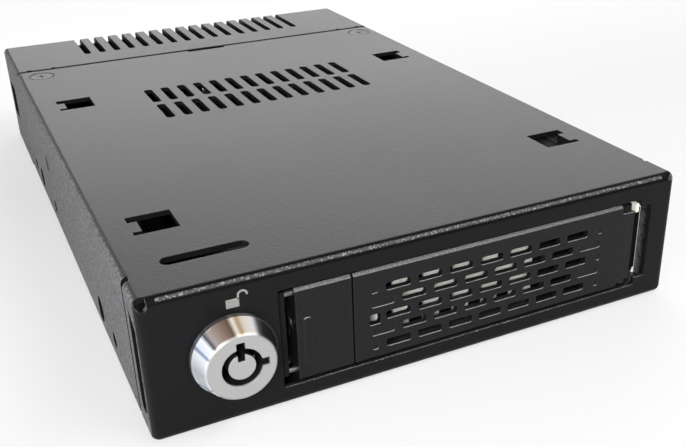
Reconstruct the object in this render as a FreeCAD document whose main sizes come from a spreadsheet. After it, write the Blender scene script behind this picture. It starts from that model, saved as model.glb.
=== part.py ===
import FreeCAD, Part
import Sketcher
import os

# Hot swap drive cage: a steel case for one 3.5 inch bay that holds one 2.5 inch drive in a
# sliding tray. All lengths are in mm. Pieces are drawn in a frame whose x runs from the left
# side of the case (seen from the front) to the right, y from the front face to the rear and
# z from the underside up. Each finished piece is then placed so that the origin of the part
# is the centre of its underside.

SIZES = (
    ("side_left", 21.9, "left side of the case to the bay"),
    ("bay_width", 72.1, "bay in the front face"),
    ("side_right", 7.6, "bay to the right side of the case"),
    ("bay_floor", 3.4, "underside of the case to the bay"),
    ("bay_height", 18.2, "bay in the front face"),
    ("bay_roof", 3.8, "bay to the top of the case"),
    ("bay_corner", 0.5, "corners of the bay"),
    ("front_depth", 13.5, "front face to the drive"),
    ("drive_length", 100.3, "drive that the tray takes"),
    ("rear_depth", 48.2, "rear end of the drive to the rear of the case"),
    ("sheet", 1.0, "steel of the case"),
    ("bend", 1.5, "outer radius of the bends in the case"),
    ("bezel_depth", 7.3, "returns of the front face"),
    ("relief", 1.5, "gap between the returns and the side walls"),
    ("wall_inset", 0.1, "side walls stand in from the front face"),
    ("fit", 0.1, "clearance between fixed pieces"),
    ("tail_slot", 2.4, "slot beside the bay for the tail of the lever"),
    ("tail_slot_rise", 1.5, "end of that slot to the end of the bay"),
    ("lock_x", 14.0, "left side of the case to the lock"),
    ("lock_proud", 4.5, "lock stands out of the front face"),
    ("nose_radius", 5.8, "front of the lock"),
    ("flange_radius", 7.0, "lock against the front face"),
    ("flange_height", 0.9, "lock against the front face"),
    ("barrel_radius", 5.9, "lock behind the front face"),
    ("barrel_length", 9.3, "lock behind the front face"),
    ("keyway_radius", 3.3, "outside of the key groove"),
    ("post_radius", 2.18, "inside of the key groove"),
    ("rotor_radius", 4.2, "turning part of the lock"),
    ("notch_reach", 4.35, "lock axis to the end of a key notch"),
    ("notch_width", 1.4, "key notches"),
    ("nut_flats", 14.0, "nut of the lock across its flats"),
    ("nut_height", 2.5, "nut of the lock"),
    ("cam_reach", 11.0, "lock axis to the tip of the cam"),
    ("cam_width", 5.0, "cam"),
    ("cam_sheet", 1.5, "cam"),
    ("cover_length", 29.2, "rear cover"),
    ("seam", 0.8, "gap between the top of the case and the rear cover"),
    ("side_seam", 0.15, "gap between the side walls and the rear cover"),
    ("screw_side", 5.7, "side to the screws of the rear cover"),
    ("screw_seam", 5.4, "seam to the screws of the rear cover"),
    ("head_radius", 2.8, "screws of the rear cover"),
    ("comb_first", 20.53, "left side to the first slot of the comb"),
    ("comb_last", 19.66, "right side to the last slot of the comb"),
    ("comb_width", 1.8, "slots of the comb"),
    ("comb_front", 19.1, "rear face to the front end of the comb"),
    ("comb_drop", 1.9, "comb runs down the rear wall"),
    ("comb_slots", 16, "number of slots in the comb"),
    ("vent_first", 26.74, "left side to the first vent"),
    ("vent_last", 26.2, "right side to the last vent"),
    ("vent_width", 2.0, "vents in the top"),
    ("vent_length", 10.4, "vents in the top"),
    ("vent_ahead", 35.7, "first row of vents to the rear end of the drive"),
    ("vent_rows", 12.5, "pitch of the two rows of vents"),
    ("vent_slots", 13, "number of vents in a row"),
    ("window_relief", 5.4, "side to the relief slots of a window"),
    ("window_bend", 7.0, "side to the bent guide tab"),
    ("window_inner", 13.2, "side to the inner edge of a window"),
    ("window_depth", 7.5, "windows along the case"),
    ("window_front", 22.1, "front face to the front pair of windows"),
    ("window_ahead", 18.7, "rear pair of windows to the rear end of the drive"),
    ("tab_drop", 6.0, "guide tabs below the top plate"),
    ("tray_gap", 0.3, "tray to the sides of the bay"),
    ("tray_lift", 0.8, "tray above the lower edge of the bay"),
    ("tray_sheet", 0.6, "steel of the tray"),
    ("tray_wall", 10.0, "side walls of the tray above its floor"),
    ("tray_rear", 2.8, "rear edge of the tray to the end of the drive"),
    ("front_clear", 1.0, "front of the tray to the upper edge of the bay"),
    ("face_set", 0.3, "lever and latch behind the front face"),
    ("face_gap", 0.65, "lever and latch to the upper and lower edge of the bay"),
    ("latch_left", 2.85, "bay edge to the latch"),
    ("latch_width", 9.8, "latch"),
    ("latch_travel", 1.5, "latch slides to the left"),
    ("latch_seam", 0.35, "latch to the lever"),
    ("ridge_height", 0.25, "finger ridge on the latch"),
    ("lever_plate", 1.3, "front plate of the lever"),
    ("rim", 0.6, "rim of the lever"),
    ("rim_depth", 3.6, "lever and latch from front to back"),
    ("bevel", 0.5, "upper front edge of lever and latch"),
    ("pin_radius", 0.6, "hinge pin"),
    ("pin_edge", 2.6, "hinge pin to the right edge of the bay"),
    ("hub_radius", 1.45, "lever round the hinge pin"),
    ("hub_low", 0.95, "lever round the hinge pin, set in from its lower edge"),
    ("hub_high", 1.75, "lever round the hinge pin, set in from its upper edge"),
    ("tail_reach", 4.6, "hinge pin to the tip of the tail"),
    ("tail_set", 1.6, "tip of the tail behind the hinge pin"),
    ("tail_thickness", 1.6, "tail of the lever"),
    ("grille_left", 8.17, "left end of the lever to the first slot of the grille"),
    ("grille_right", 11.65, "last slot of the grille to the hinge pin"),
    ("slot_land", 1.414, "plate between two slots of a row"),
    ("slot_height", 1.5, "height of a slot"),
    ("row_low", 2.2, "lower edge of the lever to the lowest row"),
    ("row_high", 3.796, "highest row to the upper edge of the lever"),
    ("slot_corner", 0.45, "corners of the slots of the grille"),
    ("blind_depth", 0.25, "slots of the grille that don't go through"),
    ("vent_plate", 5.3, "front face to the bent up front of the tray"),
    ("frame_front", 6.0, "front face to the frame of the tray"),
    ("frame_rear", 12.4, "front face to the rear of that frame"),
    ("rod_radius", 0.5, "guide rods of the latch"),
    ("rod_edge", 1.25, "guide rods to the upper and lower edge of the latch"),
    ("rail_sheet", 0.8, "guide rails"),
    ("rail_front", 14.2, "front face to the guide rails"),
    ("rail_height", 14.0, "guide rails above the base"),
    ("base_wall", 20.0, "side walls of the base"),
    ("board_thick", 1.6, "circuit board"),
    ("standoff", 2.0, "circuit board above the base"),
    ("board_gap", 2.7, "end of the drive to the circuit board"),
    ("socket_width", 42.0, "socket for the drive"),
    ("screw_radius", 1.5, "M3 mounting holes"),
    ("side_hole_z", 4.5, "underside to the side holes"),
    ("wide_radius", 2.5, "wider side holes"),
    ("drive_hole_pitch", 61.72, "holes under the drive across the tray"),
    ("drive_hole_length", 76.6, "holes under the drive along the tray"),
    ("drive_hole_rear", 14.0, "rear end of the drive to its holes"),
    ("drive_hole_radius", 1.6, "holes under the drive"),
)


class Size:
    """A length together with its expression in the sheet of sizes."""

    def __init__(self, value, text):
        self.value = float(value)
        self.text = text

    def __add__(self, other):
        return Size(self.value + number(other), "(%s + %s)" % (self.text, words(other)))

    def __sub__(self, other):
        return Size(self.value - number(other), "(%s - %s)" % (self.text, words(other)))

    def __mul__(self, other):
        return Size(self.value * number(other), "(%s * %s)" % (self.text, words(other)))

    def __truediv__(self, other):
        return Size(self.value / number(other), "(%s / %s)" % (self.text, words(other)))

    def __radd__(self, other):
        return Size(number(other), words(other)) + self

    def __rsub__(self, other):
        return Size(number(other), words(other)) - self

    def __rmul__(self, other):
        return self * other

    def __neg__(self):
        return self * -1


def number(size):
    """The value of a size or of a plain number."""
    return size.value if isinstance(size, Size) else float(size)


def words(size):
    """The expression of a size or of a plain number."""
    return size.text if isinstance(size, Size) else "(%.6f)" % size


class SizeTable:
    """The sheet of sizes, read by alias."""

    def __init__(self, sheet, rows):
        for row, (alias, value, note) in enumerate(rows, start=1):
            sheet.set("A%d" % row, note)
            sheet.set("B%d" % row, str(value))
            sheet.setAlias("B%d" % row, alias)
            setattr(self, alias, Size(value, "Sizes." + alias))


doc = FreeCAD.newDocument("drive_cage")
sizes = doc.addObject("Spreadsheet::Sheet", "Sizes")
s = SizeTable(sizes, SIZES)
doc.recompute()

width = s.side_left + s.bay_width + s.side_right
height = s.bay_floor + s.bay_height + s.bay_roof
length = s.front_depth + s.drive_length + s.rear_depth
bay_right = s.side_left + s.bay_width
bay_top = s.bay_floor + s.bay_height
lock_z = height / 2
drive_end = s.front_depth + s.drive_length
cover_start = length - s.cover_length
shell_end = cover_start - s.seam
wall_in = s.wall_inset + s.sheet
base_in = wall_in + s.fit
tray_left = s.side_left + s.tray_gap
tray_right = bay_right - s.tray_gap
tray_low = s.bay_floor + s.tray_lift
tray_floor = tray_low + s.tray_sheet
tray_high = bay_top - s.front_clear
tray_end = drive_end - s.tray_rear
frame_left = tray_left + s.tray_sheet + 0.05
frame_right = tray_right - s.tray_sheet - 0.05
latch_start = s.side_left + s.latch_left
latch_end = latch_start + s.latch_width
lever_start = latch_end + s.latch_seam
face_low = s.bay_floor + s.face_gap
face_high = bay_top - s.face_gap
face_back = s.face_set + s.rim_depth
pin_x = bay_right - s.pin_edge
pin_y = s.face_set + s.hub_radius
hub_bottom = face_low + s.hub_low
hub_top = face_high - s.hub_high
face_middle = (face_low + face_high) / 2
comb_pitch = (width - s.comb_first - s.comb_last) / (s.comb_slots - 1)
vent_pitch = (width - s.vent_first - s.vent_last) / (s.vent_slots - 1)
grille_first = lever_start + s.grille_left
grille_pitch = (pin_x - s.grille_right - grille_first) / 6
grille_slot = grille_pitch - s.slot_land
row_first = face_low + s.row_low
row_pitch = (face_high - s.row_high - row_first) / 4
board_low = s.sheet + s.standoff
board_top = board_low + s.board_thick
board_front = drive_end + s.board_gap
tray_middle = (tray_left + tray_right) / 2


def bind(item, path, size):
    """Ties a property to the sheet where its size comes from there."""
    if isinstance(size, Size):
        item.setExpression(path, size.text)


def place(item, x=0.0, y=0.0, z=0.0, rotation=FreeCAD.Rotation()):
    """Places a finished piece with the origin of the part under the middle of the case."""
    spot = (x - width / 2, y - (length - s.lock_proud) / 2, z + 0.0)
    item.Placement = FreeCAD.Placement(FreeCAD.Vector(*map(number, spot)), rotation)
    for letter, size in zip("xyz", spot):
        bind(item, "Placement.Base." + letter, size)


def hold(sketch, geometry, point, x, y):
    """Holds a point of a sketch at x and y; None leaves that direction free."""
    for kind, size in (("DistanceX", x), ("DistanceY", y)):
        if size is None:
            continue
        rule = Sketcher.Constraint(kind, -1, 1, geometry, point, number(size))
        row = sketch.addConstraint(rule)
        bind(sketch, "Constraints[%d]" % row, size)


def hold_radius(sketch, geometry, radius):
    """Holds the radius of an arc or a circle."""
    row = sketch.addConstraint(Sketcher.Constraint("Radius", geometry, number(radius)))
    bind(sketch, "Constraints[%d]" % row, radius)


def outline(*points):
    """A closed outline of straight lines."""

    def draw(sketch):
        first = sketch.GeometryCount
        spots = [FreeCAD.Vector(number(x), number(y), 0) for x, y in points]
        for start, end in zip(spots, spots[1:] + spots[:1]):
            sketch.addGeometry(Part.LineSegment(start, end))
        for index, (x, y) in enumerate(points):
            after = first + (index + 1) % len(points)
            sketch.addConstraint(Sketcher.Constraint("Coincident", first + index, 2, after, 1))
            hold(sketch, first + index, 1, x, y)

    return draw


def rectangle(x0, y0, x1, y1):
    """A rectangle between two corners."""
    return outline((x0, y0), (x1, y0), (x1, y1), (x0, y1))


def circle(x, y, radius):
    """A circle round a centre."""

    def draw(sketch):
        centre = FreeCAD.Vector(number(x), number(y), 0)
        ring = sketch.addGeometry(Part.Circle(centre, FreeCAD.Vector(0, 0, 1), number(radius)))
        hold(sketch, ring, 3, x, y)
        hold_radius(sketch, ring, radius)

    return draw


def rounded(x0, y0, x1, y1, radius):
    """A rectangle with round corners."""

    def draw(sketch):
        left, low, right, high, r = map(number, (x0, y0, x1, y1, radius))
        up = FreeCAD.Vector(0, 0, 1)
        quarter = 1.5707963267948966
        corners = ((right - r, low + r), (right - r, high - r), (left + r, high - r),
                   (left + r, low + r))
        sides = (((left + r, low), (right - r, low)), ((right, low + r), (right, high - r)),
                 ((right - r, high), (left + r, high)), ((left, high - r), (left, low + r)))
        lines = []
        arcs = []
        for turn, (side, corner) in enumerate(zip(sides, corners)):
            start, end = (FreeCAD.Vector(x, y, 0) for x, y in side)
            lines.append(sketch.addGeometry(Part.LineSegment(start, end)))
            round_end = Part.Circle(FreeCAD.Vector(corner[0], corner[1], 0), up, r)
            begin = (turn - 1) * quarter
            arcs.append(sketch.addGeometry(Part.ArcOfCircle(round_end, begin, begin + quarter)))
        for turn in range(4):
            line, arc, after = lines[turn], arcs[turn], lines[(turn + 1) % 4]
            sketch.addConstraint(Sketcher.Constraint("Tangent", line, 2, arc, 1))
            sketch.addConstraint(Sketcher.Constraint("Tangent", arc, 2, after, 1))
            level = "Horizontal" if turn % 2 == 0 else "Vertical"
            sketch.addConstraint(Sketcher.Constraint(level, line))
            if turn:
                sketch.addConstraint(Sketcher.Constraint("Equal", arcs[0], arc))
        hold(sketch, lines[0], 1, None, y0)
        hold(sketch, lines[1], 1, x1, None)
        hold(sketch, lines[2], 1, None, y1)
        hold(sketch, lines[3], 1, x0, None)
        hold_radius(sketch, arcs[0], radius)

    return draw


def slot(x0, y0, x1, y1):
    """A slot with full round ends that lies along x or y."""

    def draw(sketch):
        left, low, right, high = map(number, (x0, y0, x1, y1))
        lying = right - left > high - low
        across = (y1 - y0) / 2 if lying else (x1 - x0) / 2
        if lying:
            middle = (y0 + y1) / 2
            ends = ((x0 + across, middle), (x1 - across, middle))
        else:
            middle = (x0 + x1) / 2
            ends = ((middle, y0 + across), (middle, y1 - across))
        r = number(across)
        side = FreeCAD.Vector(0, r, 0) if lying else FreeCAD.Vector(-r, 0, 0)
        a, b = (FreeCAD.Vector(number(x), number(y), 0) for x, y in ends)
        quarter = 1.5707963267948966
        tilt = 0.0 if lying else quarter
        up = FreeCAD.Vector(0, 0, 1)
        first = sketch.addGeometry(
            Part.ArcOfCircle(Part.Circle(a, up, r), quarter + tilt, 3 * quarter + tilt))
        low_line = sketch.addGeometry(Part.LineSegment(a - side, b - side))
        last = sketch.addGeometry(
            Part.ArcOfCircle(Part.Circle(b, up, r), -quarter + tilt, quarter + tilt))
        high_line = sketch.addGeometry(Part.LineSegment(b + side, a + side))
        joints = ((first, 2, low_line, 1), (low_line, 2, last, 1), (last, 2, high_line, 1),
                  (high_line, 2, first, 1))
        for joint in joints:
            sketch.addConstraint(Sketcher.Constraint("Tangent", *joint))
        sketch.addConstraint(Sketcher.Constraint("Equal", first, last))
        hold(sketch, first, 3, *ends[0])
        hold(sketch, last, 3, *ends[1])
        hold_radius(sketch, first, across)

    return draw


def edges_at(shape, *spots):
    """Names of the edges that lie at given x, y or z; None leaves a direction free."""
    names = []
    for index, edge in enumerate(shape.Edges, start=1):
        box = edge.BoundBox
        low = (box.XMin, box.YMin, box.ZMin)
        high = (box.XMax, box.YMax, box.ZMax)
        for spot in spots:
            pairs = [(number(want), a, b) for want, a, b in zip(spot, low, high)
                     if want is not None]
            if all(abs(a - want) < 0.02 and abs(b - want) < 0.02 for want, a, b in pairs):
                names.append("Edge%d" % index)
                break
    return names


class Piece:
    """One separate piece, built up as a body of features."""

    def __init__(self, name, x=0.0, y=0.0, z=0.0, rotation=FreeCAD.Rotation()):
        self.name = name
        self.body = doc.addObject("PartDesign::Body", name)
        self.body.Label = name
        place(self.body, x, y, z, rotation)

    def origin(self, role):
        """A plane or an axis of the body's own origin."""
        return [item for item in self.body.Origin.OriginFeatures if item.Role == role][0]

    def sketch(self, label, plane, at, shapes, across=0.0, up=0.0):
        """Draws shapes on an origin plane moved along its axis."""
        sketch = self.body.newObject("Sketcher::SketchObject", self.name + "_" + label)
        sketch.AttachmentSupport = [(self.origin(plane + "_Plane"), "")]
        sketch.MapMode = "FlatFace"
        depth = at * -1 if plane == "XZ" else at
        spot = (across, up, depth)
        sketch.AttachmentOffset = FreeCAD.Placement(
            FreeCAD.Vector(*map(number, spot)), FreeCAD.Rotation())
        for letter, size in zip("xyz", spot):
            bind(sketch, "AttachmentOffset.Base." + letter, size)
        for shape in shapes:
            shape(sketch)
        return sketch

    def extrude(self, kind, label, plane, low, high, shapes):
        """Adds or cuts shapes from one height to another along the axis of a plane."""
        sketch = self.sketch(label + "_sketch", plane, low, shapes)
        feature = self.body.newObject("PartDesign::" + kind, self.name + "_" + label)
        feature.Profile = sketch
        feature.Length = number(high) - number(low)
        bind(feature, "Length", high - low)
        feature.Reversed = (kind == "Pad") == (plane == "XZ")
        return feature

    def pad(self, label, plane, low, high, *shapes):
        """Adds material."""
        return self.extrude("Pad", label, plane, low, high, shapes)

    def pocket(self, label, plane, low, high, *shapes):
        """Takes material away."""
        return self.extrude("Pocket", label, plane, low, high, shapes)

    def turn(self, kind, label, plane, axis, *shapes, at=0.0, across=0.0, up=0.0):
        """Adds a Revolution or cuts a Groove round an axis of the sketch."""
        sketch = self.sketch(label + "_sketch", plane, at, shapes, across, up)
        feature = self.body.newObject("PartDesign::" + kind, self.name + "_" + label)
        feature.Profile = sketch
        feature.ReferenceAxis = (sketch, [axis])
        feature.Angle = 360
        return feature

    def row(self, label, feature, axis, count, pitch, axis2=None, count2=1, pitch2=1.0):
        """Repeats a feature in one or two directions."""
        pattern = self.body.newObject("PartDesign::LinearPattern", self.name + "_" + label)
        pattern.Originals = [feature]
        pattern.Direction = (self.origin(axis + "_Axis"), [""])
        pattern.Length = number(pitch) * (number(count) - 1)
        bind(pattern, "Length", pitch * (count - 1))
        pattern.Occurrences = int(number(count))
        bind(pattern, "Occurrences", count)
        if axis2:
            pattern.Direction2 = (self.origin(axis2 + "_Axis"), [""])
            pattern.Length2 = number(pitch2) * (number(count2) - 1)
            bind(pattern, "Length2", pitch2 * (count2 - 1))
            pattern.Occurrences2 = int(number(count2))
        self.body.Tip = pattern
        return pattern

    def dress(self, kind, label, path, size, *spots):
        """Rounds or bevels the edges at the given spots."""
        doc.recompute()
        tip = self.body.Tip
        feature = self.body.newObject("PartDesign::" + kind, self.name + "_" + label)
        feature.Base = (tip, edges_at(tip.Shape, *spots))
        setattr(feature, path, number(size))
        bind(feature, path, size)
        return feature

    def fillet(self, label, radius, *spots):
        """Rounds edges."""
        return self.dress("Fillet", label, "Radius", radius, *spots)

    def chamfer(self, label, size, *spots):
        """Bevels edges."""
        return self.dress("Chamfer", label, "Size", size, *spots)


def block(x0, y0, z0, x1, y1, z1):
    """A box between two corners."""
    item = doc.addObject("Part::Box", "block")
    for path, low, high in (("Length", x0, x1), ("Width", y0, y1), ("Height", z0, z1)):
        setattr(item, path, number(high) - number(low))
        bind(item, path, high - low)
    item.Placement.Base = FreeCAD.Vector(number(x0), number(y0), number(z0))
    for letter, size in zip("xyz", (x0, y0, z0)):
        bind(item, "Placement.Base." + letter, size)
    return item


TURNS = {
    "X": FreeCAD.Rotation(FreeCAD.Vector(0, 1, 0), 90),
    "Y": FreeCAD.Rotation(FreeCAD.Vector(1, 0, 0), -90),
    "Z": FreeCAD.Rotation(),
}


def rod(x, y, z, radius, reach, axis="Z", top=None):
    """A cylinder, or a cone with another radius at its far end, along an axis."""
    item = doc.addObject("Part::Cylinder" if top is None else "Part::Cone", "rod")
    names = (("Radius", radius),) if top is None else (("Radius1", radius), ("Radius2", top))
    for path, size in names + (("Height", reach),):
        setattr(item, path, number(size))
        bind(item, path, size)
    spot = FreeCAD.Vector(number(x), number(y), number(z))
    item.Placement = FreeCAD.Placement(spot, TURNS[axis])
    for letter, size in zip("xyz", (x, y, z)):
        bind(item, "Placement.Base." + letter, size)
    return item


def fuse(*items):
    """One solid from several that touch."""
    joined = doc.addObject("Part::MultiFuse", "joined")
    joined.Shapes = list(items)
    return joined


def cut(base, *tools):
    """A solid with others taken out of it."""
    item = doc.addObject("Part::Cut", "cut")
    item.Base = base
    item.Tool = tools[0] if len(tools) == 1 else group(*tools)
    return item


def group(*items):
    """Several solids kept apart."""
    item = doc.addObject("Part::Compound", "group")
    item.Links = list(items)
    return item


nodes = []


def finish(name, item):
    """Names a piece made of plain solids and places it."""
    item.Label = name
    place(item)
    nodes.append((name, item))


def keep(piece):
    """Takes a finished body."""
    nodes.append((piece.name, piece.body))


# Case: top, sides and front face bent from one sheet

case = Piece("case_shell")
case.pad("rear", "XZ", s.bezel_depth - 1, cover_start - s.side_seam,
         rectangle(s.wall_inset, 0.0, width - s.wall_inset, height))
case.fillet("top_sides", s.bend - 0.3,
            (s.wall_inset, None, height), (width - s.wall_inset, None, height))
case.pad("front", "XZ", 0.0, s.bezel_depth, rectangle(0.0, 0.0, width, height))
case.fillet("front_bends", s.bend,
            (0.0, 0.0, None), (width, 0.0, None), (None, 0.0, 0.0), (None, 0.0, height))
case.fillet("front_sides", s.bend - 0.3,
            (0.0, None, height), (width, None, height), (0.0, None, 0.0), (width, None, 0.0))
case.pocket("front_inside", "XZ", s.sheet, s.bezel_depth + 0.001,
            rectangle(s.sheet, s.sheet, width - s.sheet, height - s.sheet))
case.pocket("inside", "XZ", s.bezel_depth, cover_start + 1,
            rectangle(wall_in, -1.0, width - wall_in, height - s.sheet))
case.pocket("relief_left", "XY", -1.0, height + 1,
            rectangle(-1.0, s.bezel_depth, wall_in + 0.2, s.bezel_depth + s.relief))
case.pocket("relief_right", "XY", -1.0, height + 1,
            rectangle(width - wall_in - 0.2, s.bezel_depth, width + 1,
                      s.bezel_depth + s.relief))
case.pocket("bay", "XZ", -1.0, s.sheet + 1,
            rounded(s.side_left, s.bay_floor, bay_right, bay_top, s.bay_corner))
case.pocket("tail_slot", "XZ", -1.0, s.sheet + 1,
            rectangle(bay_right - 1, s.bay_floor + s.tail_slot_rise, bay_right + s.tail_slot,
                      bay_top - s.tail_slot_rise))
case.pocket("lock_hole", "XZ", -1.0, s.sheet + 1, circle(s.lock_x, lock_z, s.barrel_radius + s.fit))
case.pocket("seam", "XY", height - s.sheet - 0.4, height + 1,
            rectangle(0.3, shell_end, width - 0.3, cover_start + 1))
case.pocket("corner_notches", "XZ", -1.0, s.sheet + 0.4,
            rounded(0.3, height - 1.85, 2.0, height + 1, 0.8),
            rounded(width - 2, height - 1.85, width - 0.3, height + 1, 0.8))
slit_high = height - 3.2
case.pocket("return_slit", "YZ", -1.0, s.sheet + 0.5,
            outline((2.3, 4.4), (4.3, 4.4), (4.9, 6.0), (4.9, slit_high), (1.4, slit_high - 2),
                    (1.5, 5.6)))
case.pocket("lock_slot", "XY", height - s.sheet - 1, height + 1,
            slot(s.lock_x - 7.3, 9.3, s.lock_x + 7.3, 12.1))
for side in ("left", "right"):
    def mirror(x, side=side):
        """The same distance from the other side of the case."""
        return x if side == "left" else width - x

    front = s.window_front
    back = front + s.window_depth
    window = case.pocket(
        "window_" + side, "XY", height - s.sheet - 1, height + 1,
        outline((mirror(s.window_relief), front), (mirror(s.window_inner), front),
                (mirror(s.window_inner), back), (mirror(s.window_relief), back),
                (mirror(s.window_relief), back - 2.2), (mirror(s.window_bend), back - 2.2),
                (mirror(s.window_bend), front + 1.2), (mirror(s.window_relief), front + 1.2)))
    case.row("windows_" + side, window, "Y", 2, drive_end - s.window_ahead - s.window_front)
    tab = case.pad(
        "tab_" + side, "XZ", front + 1.25, back - 2.25,
        rectangle(mirror(s.window_bend), height - s.sheet - s.tab_drop,
                  mirror(s.window_bend - s.sheet), height - s.sheet / 2))
    case.row("tabs_" + side, tab, "Y", 2, drive_end - s.window_ahead - s.window_front)
vent_start = drive_end - s.vent_ahead
vent = case.pocket("vent", "XY", height - s.sheet - 1, height + 1,
                   rounded(s.vent_first - s.vent_width / 2, vent_start,
                           s.vent_first + s.vent_width / 2, vent_start + s.vent_length, 0.8))
case.row("vents", vent, "X", s.vent_slots, vent_pitch, "Y", 2, s.vent_rows)
case.pocket("finger_notch", "XY", height - s.sheet - 1, height + 1,
            rounded(width / 2 - 5.3, shell_end - 1.4, width / 2 + 5.3, shell_end + 2, 0.6))
narrow_holes = (s.front_depth + 12.3, drive_end - 23.8, shell_end - 12)
wide_holes = (s.front_depth + 24.4, drive_end - 3.8)
side_holes = [circle(y, s.side_hole_z, s.screw_radius) for y in narrow_holes]
side_holes += [circle(y, s.side_hole_z, s.wide_radius) for y in wide_holes]
case.pocket("side_holes", "YZ", -1.0, width + 1, *side_holes)
side_screw = (drive_end - 22.4, height - 10.6)
case.pocket("side_screw_holes", "YZ", -1.0, width + 1, circle(*side_screw, 1.2))
case.pocket("side_screw_seat_left", "YZ", -1.0, s.wall_inset + 0.55, circle(*side_screw, 1.85))
case.pocket("side_screw_seat_right", "YZ", width - s.wall_inset - 0.55, width + 1,
            circle(*side_screw, 1.85))
cover_screw_y = shell_end - s.screw_seam
for side, x in (("left", s.screw_side), ("right", width - s.screw_side)):
    case.turn("Groove", "screw_hole_" + side, "XZ", "V_Axis",
              outline((0.0, -0.5), (s.head_radius - 0.85, -0.5), (s.head_radius - 0.85, 0.0),
                      (s.head_radius + 0.2, s.sheet + 0.05), (0.0, s.sheet + 0.05)),
              at=cover_screw_y, across=x, up=height - s.sheet)
keep(case)

# Base: the floor of the case with its own side walls inside the case

base = Piece("base_pan")
base.pad("floor", "XY", 0.0, s.sheet,
         rectangle(base_in, s.bezel_depth + s.fit, width - base_in, length - s.sheet - s.fit))
for side, low in (("left", base_in), ("right", width - base_in - s.sheet)):
    base.pad("wall_" + side, "YZ", low, low + s.sheet,
             outline((s.bezel_depth + s.relief, 0.0), (length - s.sheet - s.fit, 0.0),
                     (length - s.sheet - s.fit, s.base_wall),
                     (s.bezel_depth + s.relief, s.base_wall)))
base.fillet("bends", s.bend - 0.3, (base_in, None, 0.0), (width - base_in, None, 0.0))
base.pocket("side_holes", "YZ", -1.0, width + 1, *side_holes)
base.pocket("side_screw_holes", "YZ", -1.0, width + 1, circle(*side_screw, 1.2))
base.pocket("side_window", "YZ", -1.0, width + 1,
            rounded(length - 14.0, 8.0, length - 4.0, 17.0, 0.8))
base_vent = base.pocket("vent", "XY", -1.0, s.sheet + 1,
                        slot(32.0, 30.0, 34.0, 48.0))
base.row("vents", base_vent, "X", 9, (s.bay_width - 24.1) / 8, "Y", 3, (drive_end - 32.8) / 3)
keep(base)

# Rear cover with the comb of vents and the openings for the connectors

cover = Piece("rear_cover")
cover.pad("block", "XZ", cover_start, length,
          rectangle(s.wall_inset, 0.0, width - s.wall_inset, height))
cover.fillet("rear_bends", s.bend, (s.wall_inset, length, None),
             (width - s.wall_inset, length, None), (None, length, height))
cover.fillet("top_sides", s.bend - 0.3,
             (s.wall_inset, None, height), (width - s.wall_inset, None, height))
cover.pocket("inside", "XZ", cover_start - 1, length - s.sheet,
             rectangle(wall_in, -1.0, width - wall_in, height - s.sheet))
comb = cover.pocket("comb_slot", "XY", height - s.comb_drop, height + 1,
                    slot(s.comb_first - s.comb_width / 2, length - s.comb_front,
                         s.comb_first + s.comb_width / 2, length + 2))
cover.row("comb", comb, "X", s.comb_slots, comb_pitch)
cover.pocket("side_window", "YZ", -1.0, width + 1,
             rounded(length - 14.0, 8.0, length - 4.0, 17.0, 0.8))
cover.pocket("edge_reliefs", "XY", height - s.sheet - 1, height + 1,
             *[circle(x, cover_start, 0.8) for x in (3.4, 9.6, width - 9.6, width - 3.4)])
cover.pocket("data_opening", "XZ", length - s.sheet - 1, length + 1,
             rounded(27.4, board_top - 0.3, 42.6, board_top + 7.4, 0.5))
cover.pocket("power_opening", "XZ", length - s.sheet - 1, length + 1,
             rounded(56.4, board_top - 0.3, 83.6, board_top + 7.4, 0.5))
for side, low in (("left", s.screw_side - 2.2), ("right", width - s.screw_side - 2.6)):
    under = height - s.sheet * 2 - s.fit
    cover.pad("tongue_" + side, "YZ", low, low + 4.8,
              outline((shell_end - 10.4, under), (cover_start + 3, under),
                      (cover_start + 3, height - s.sheet / 2), (cover_start + 0.9, height - s.sheet / 2),
                      (cover_start + 0.9, height - s.sheet - s.fit),
                      (shell_end - 10.4, height - s.sheet - s.fit)))
for side, x in (("left", s.screw_side), ("right", width - s.screw_side)):
    cover.pocket("screw_hole_" + side, "XY", height - s.sheet * 2 - 1, height - s.sheet,
                 circle(x, cover_screw_y, 1.3))
keep(cover)

seat_high = height - s.sheet - s.fit + 0.02
finish("cover_screws", group(
    *[fuse(rod(x, cover_screw_y, seat_high, s.head_radius - 1.05, s.sheet + 0.03,
               top=s.head_radius),
           rod(x, cover_screw_y, seat_high - 3.4, 1.2, 3.6))
      for x in (s.screw_side, width - s.screw_side)]))

wall_out = width - s.wall_inset
finish("side_screws", group(
    fuse(rod(s.wall_inset + 0.05, *side_screw, 1.75, 0.48, "X"),
         rod(s.wall_inset + 0.3, *side_screw, 1.1, 3.4, "X")),
    fuse(rod(wall_out - 0.53, *side_screw, 1.75, 0.48, "X"),
         rod(wall_out - 3.7, *side_screw, 1.1, 3.4, "X"))))

# Guide rails that carry the tray

ledge_top = tray_low - s.fit
for side in ("left", "right"):
    rail = Piece("guide_rail_" + side)
    if side == "left":
        def along(x):
            """Measured from the left edge of the bay into the bay."""
            return s.side_left + x
    else:
        def along(x):
            """Measured from the right edge of the bay into the bay."""
            return bay_right - x
    inner = 2.4
    rail.pad("profile", "XZ", s.rail_front, drive_end - 2,
             outline((along(-4.6), s.sheet), (along(0.0), s.sheet),
                     (along(0.0), ledge_top - s.rail_sheet), (along(inner), ledge_top - s.rail_sheet),
                     (along(inner), ledge_top), (along(0.0), ledge_top),
                     (along(0.0), s.sheet + s.rail_height),
                     (along(-s.rail_sheet), s.sheet + s.rail_height),
                     (along(-s.rail_sheet), s.sheet + s.rail_sheet),
                     (along(-4.6), s.sheet + s.rail_sheet)))
    keep(rail)

# Lock: chrome head and barrel, nut, turning plug with pins, cam and its screw

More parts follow.
